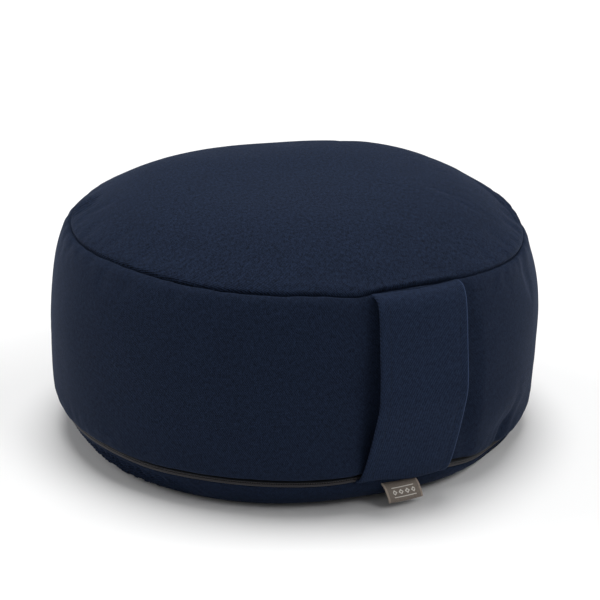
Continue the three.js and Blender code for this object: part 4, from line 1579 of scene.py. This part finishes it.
upper_ends = (path_points[6], path_points[strap_break])
lower_ends = (path_points[-14], path_points[strap_break])
for half, ends, material in (
    (strap_upper, upper_ends, strap_twill),
    (strap_lower, lower_ends, strap_twill),
    (stitches_upper, upper_ends, navy_thread),
    (stitches_lower, lower_ends, navy_thread),
):
    half.data.materials.append(material)
    start, end = ((0, 0, point[1] * MM) for point in ends)
    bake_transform(half)
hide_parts("carry_strap")
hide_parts("carry_strap")

# ---- floor, light and camera

CAMERA_AZIMUTH = -28.5
CAMERA_ELEVATION = 20.8
CAMERA_DISTANCE = 1.4
CAMERA_LENS = 123.47
FLOOR_HALF = 14
FLOOR_Z = -0.0003


def add_floor():
    corners = [(x * FLOOR_HALF, y * FLOOR_HALF, FLOOR_Z) for x, y in ((-1, -1), (1, -1), (1, 1), (-1, 1))]
    floor = add_mesh("floor", corners, [(0, 1, 2, 3)])
    pale = Graph("pale_floor").finish((0.88, 0.88, 0.88), 0.9, Specular_IOR_Level=0.1)
    floor.data.materials.append(pale)


def add_world():
    world = bpy.data.worlds.new("studio")
    world.use_nodes = True
    background = world.node_tree.nodes["Background"]
    background.inputs["Color"].default_value = (1, 1, 1, 1)
    background.inputs["Strength"].default_value = 0.2
    bpy.context.scene.world = world


def towards(azimuth, elevation):
    """Unit vector to a place at an azimuth from the front and an elevation, in degrees."""
    turn = math.radians(azimuth)
    rise = math.radians(elevation)
    flat_reach = math.cos(rise)
    return Vector((math.sin(turn) * flat_reach, -math.cos(turn) * flat_reach, math.sin(rise)))


def face_back(item, back):
    """Turns a light or camera so that back is behind it."""
    item.rotation_mode = "QUATERNION"
    item.rotation_quaternion = back.to_track_quat("Z", "Y")


def add_sun(name, strength, spread, azimuth, elevation):
    """A soft sun that shines from an azimuth, counted from the camera's, and an elevation."""
    sun = bpy.data.lights.new(name, "SUN")
    sun.energy = strength
    sun.angle = math.radians(spread)
    face_back(add_object(name, sun), towards(CAMERA_AZIMUTH + azimuth, elevation))


def add_camera():
    azimuth = math.radians(CAMERA_AZIMUTH)
    back = towards(CAMERA_AZIMUTH, CAMERA_ELEVATION)
    right = Vector((math.cos(azimuth), math.sin(azimuth), 0))
    aim = Vector((0, 0, cad_high.z * 0.4335)) + right * 0.0044 + back.cross(right) * 0.0065
    data = bpy.data.cameras.new("camera")
    data.sensor_width = 36
    data.lens = CAMERA_LENS
    data.clip_start = 0.05
    data.clip_end = 60
    camera = add_object("camera", data)
    camera.location = aim + back * CAMERA_DISTANCE
    face_back(camera, back)
    bpy.context.scene.camera = camera


add_floor()
add_world()
add_sun("overhead", 2.3, 34, 180, 79)
add_sun("left_fill", 0.9, 40, -108, 28)
add_sun("left_low", 0.12, 30, -75, 8)
add_sun("right_fill", 0.6, 40, 110, 30)
add_sun("right_key", 0.6, 30, 60, 45)
add_camera()
bpy.context.scene.view_settings.view_transform = "Standard"
bpy.context.scene.view_settings.look = "None"
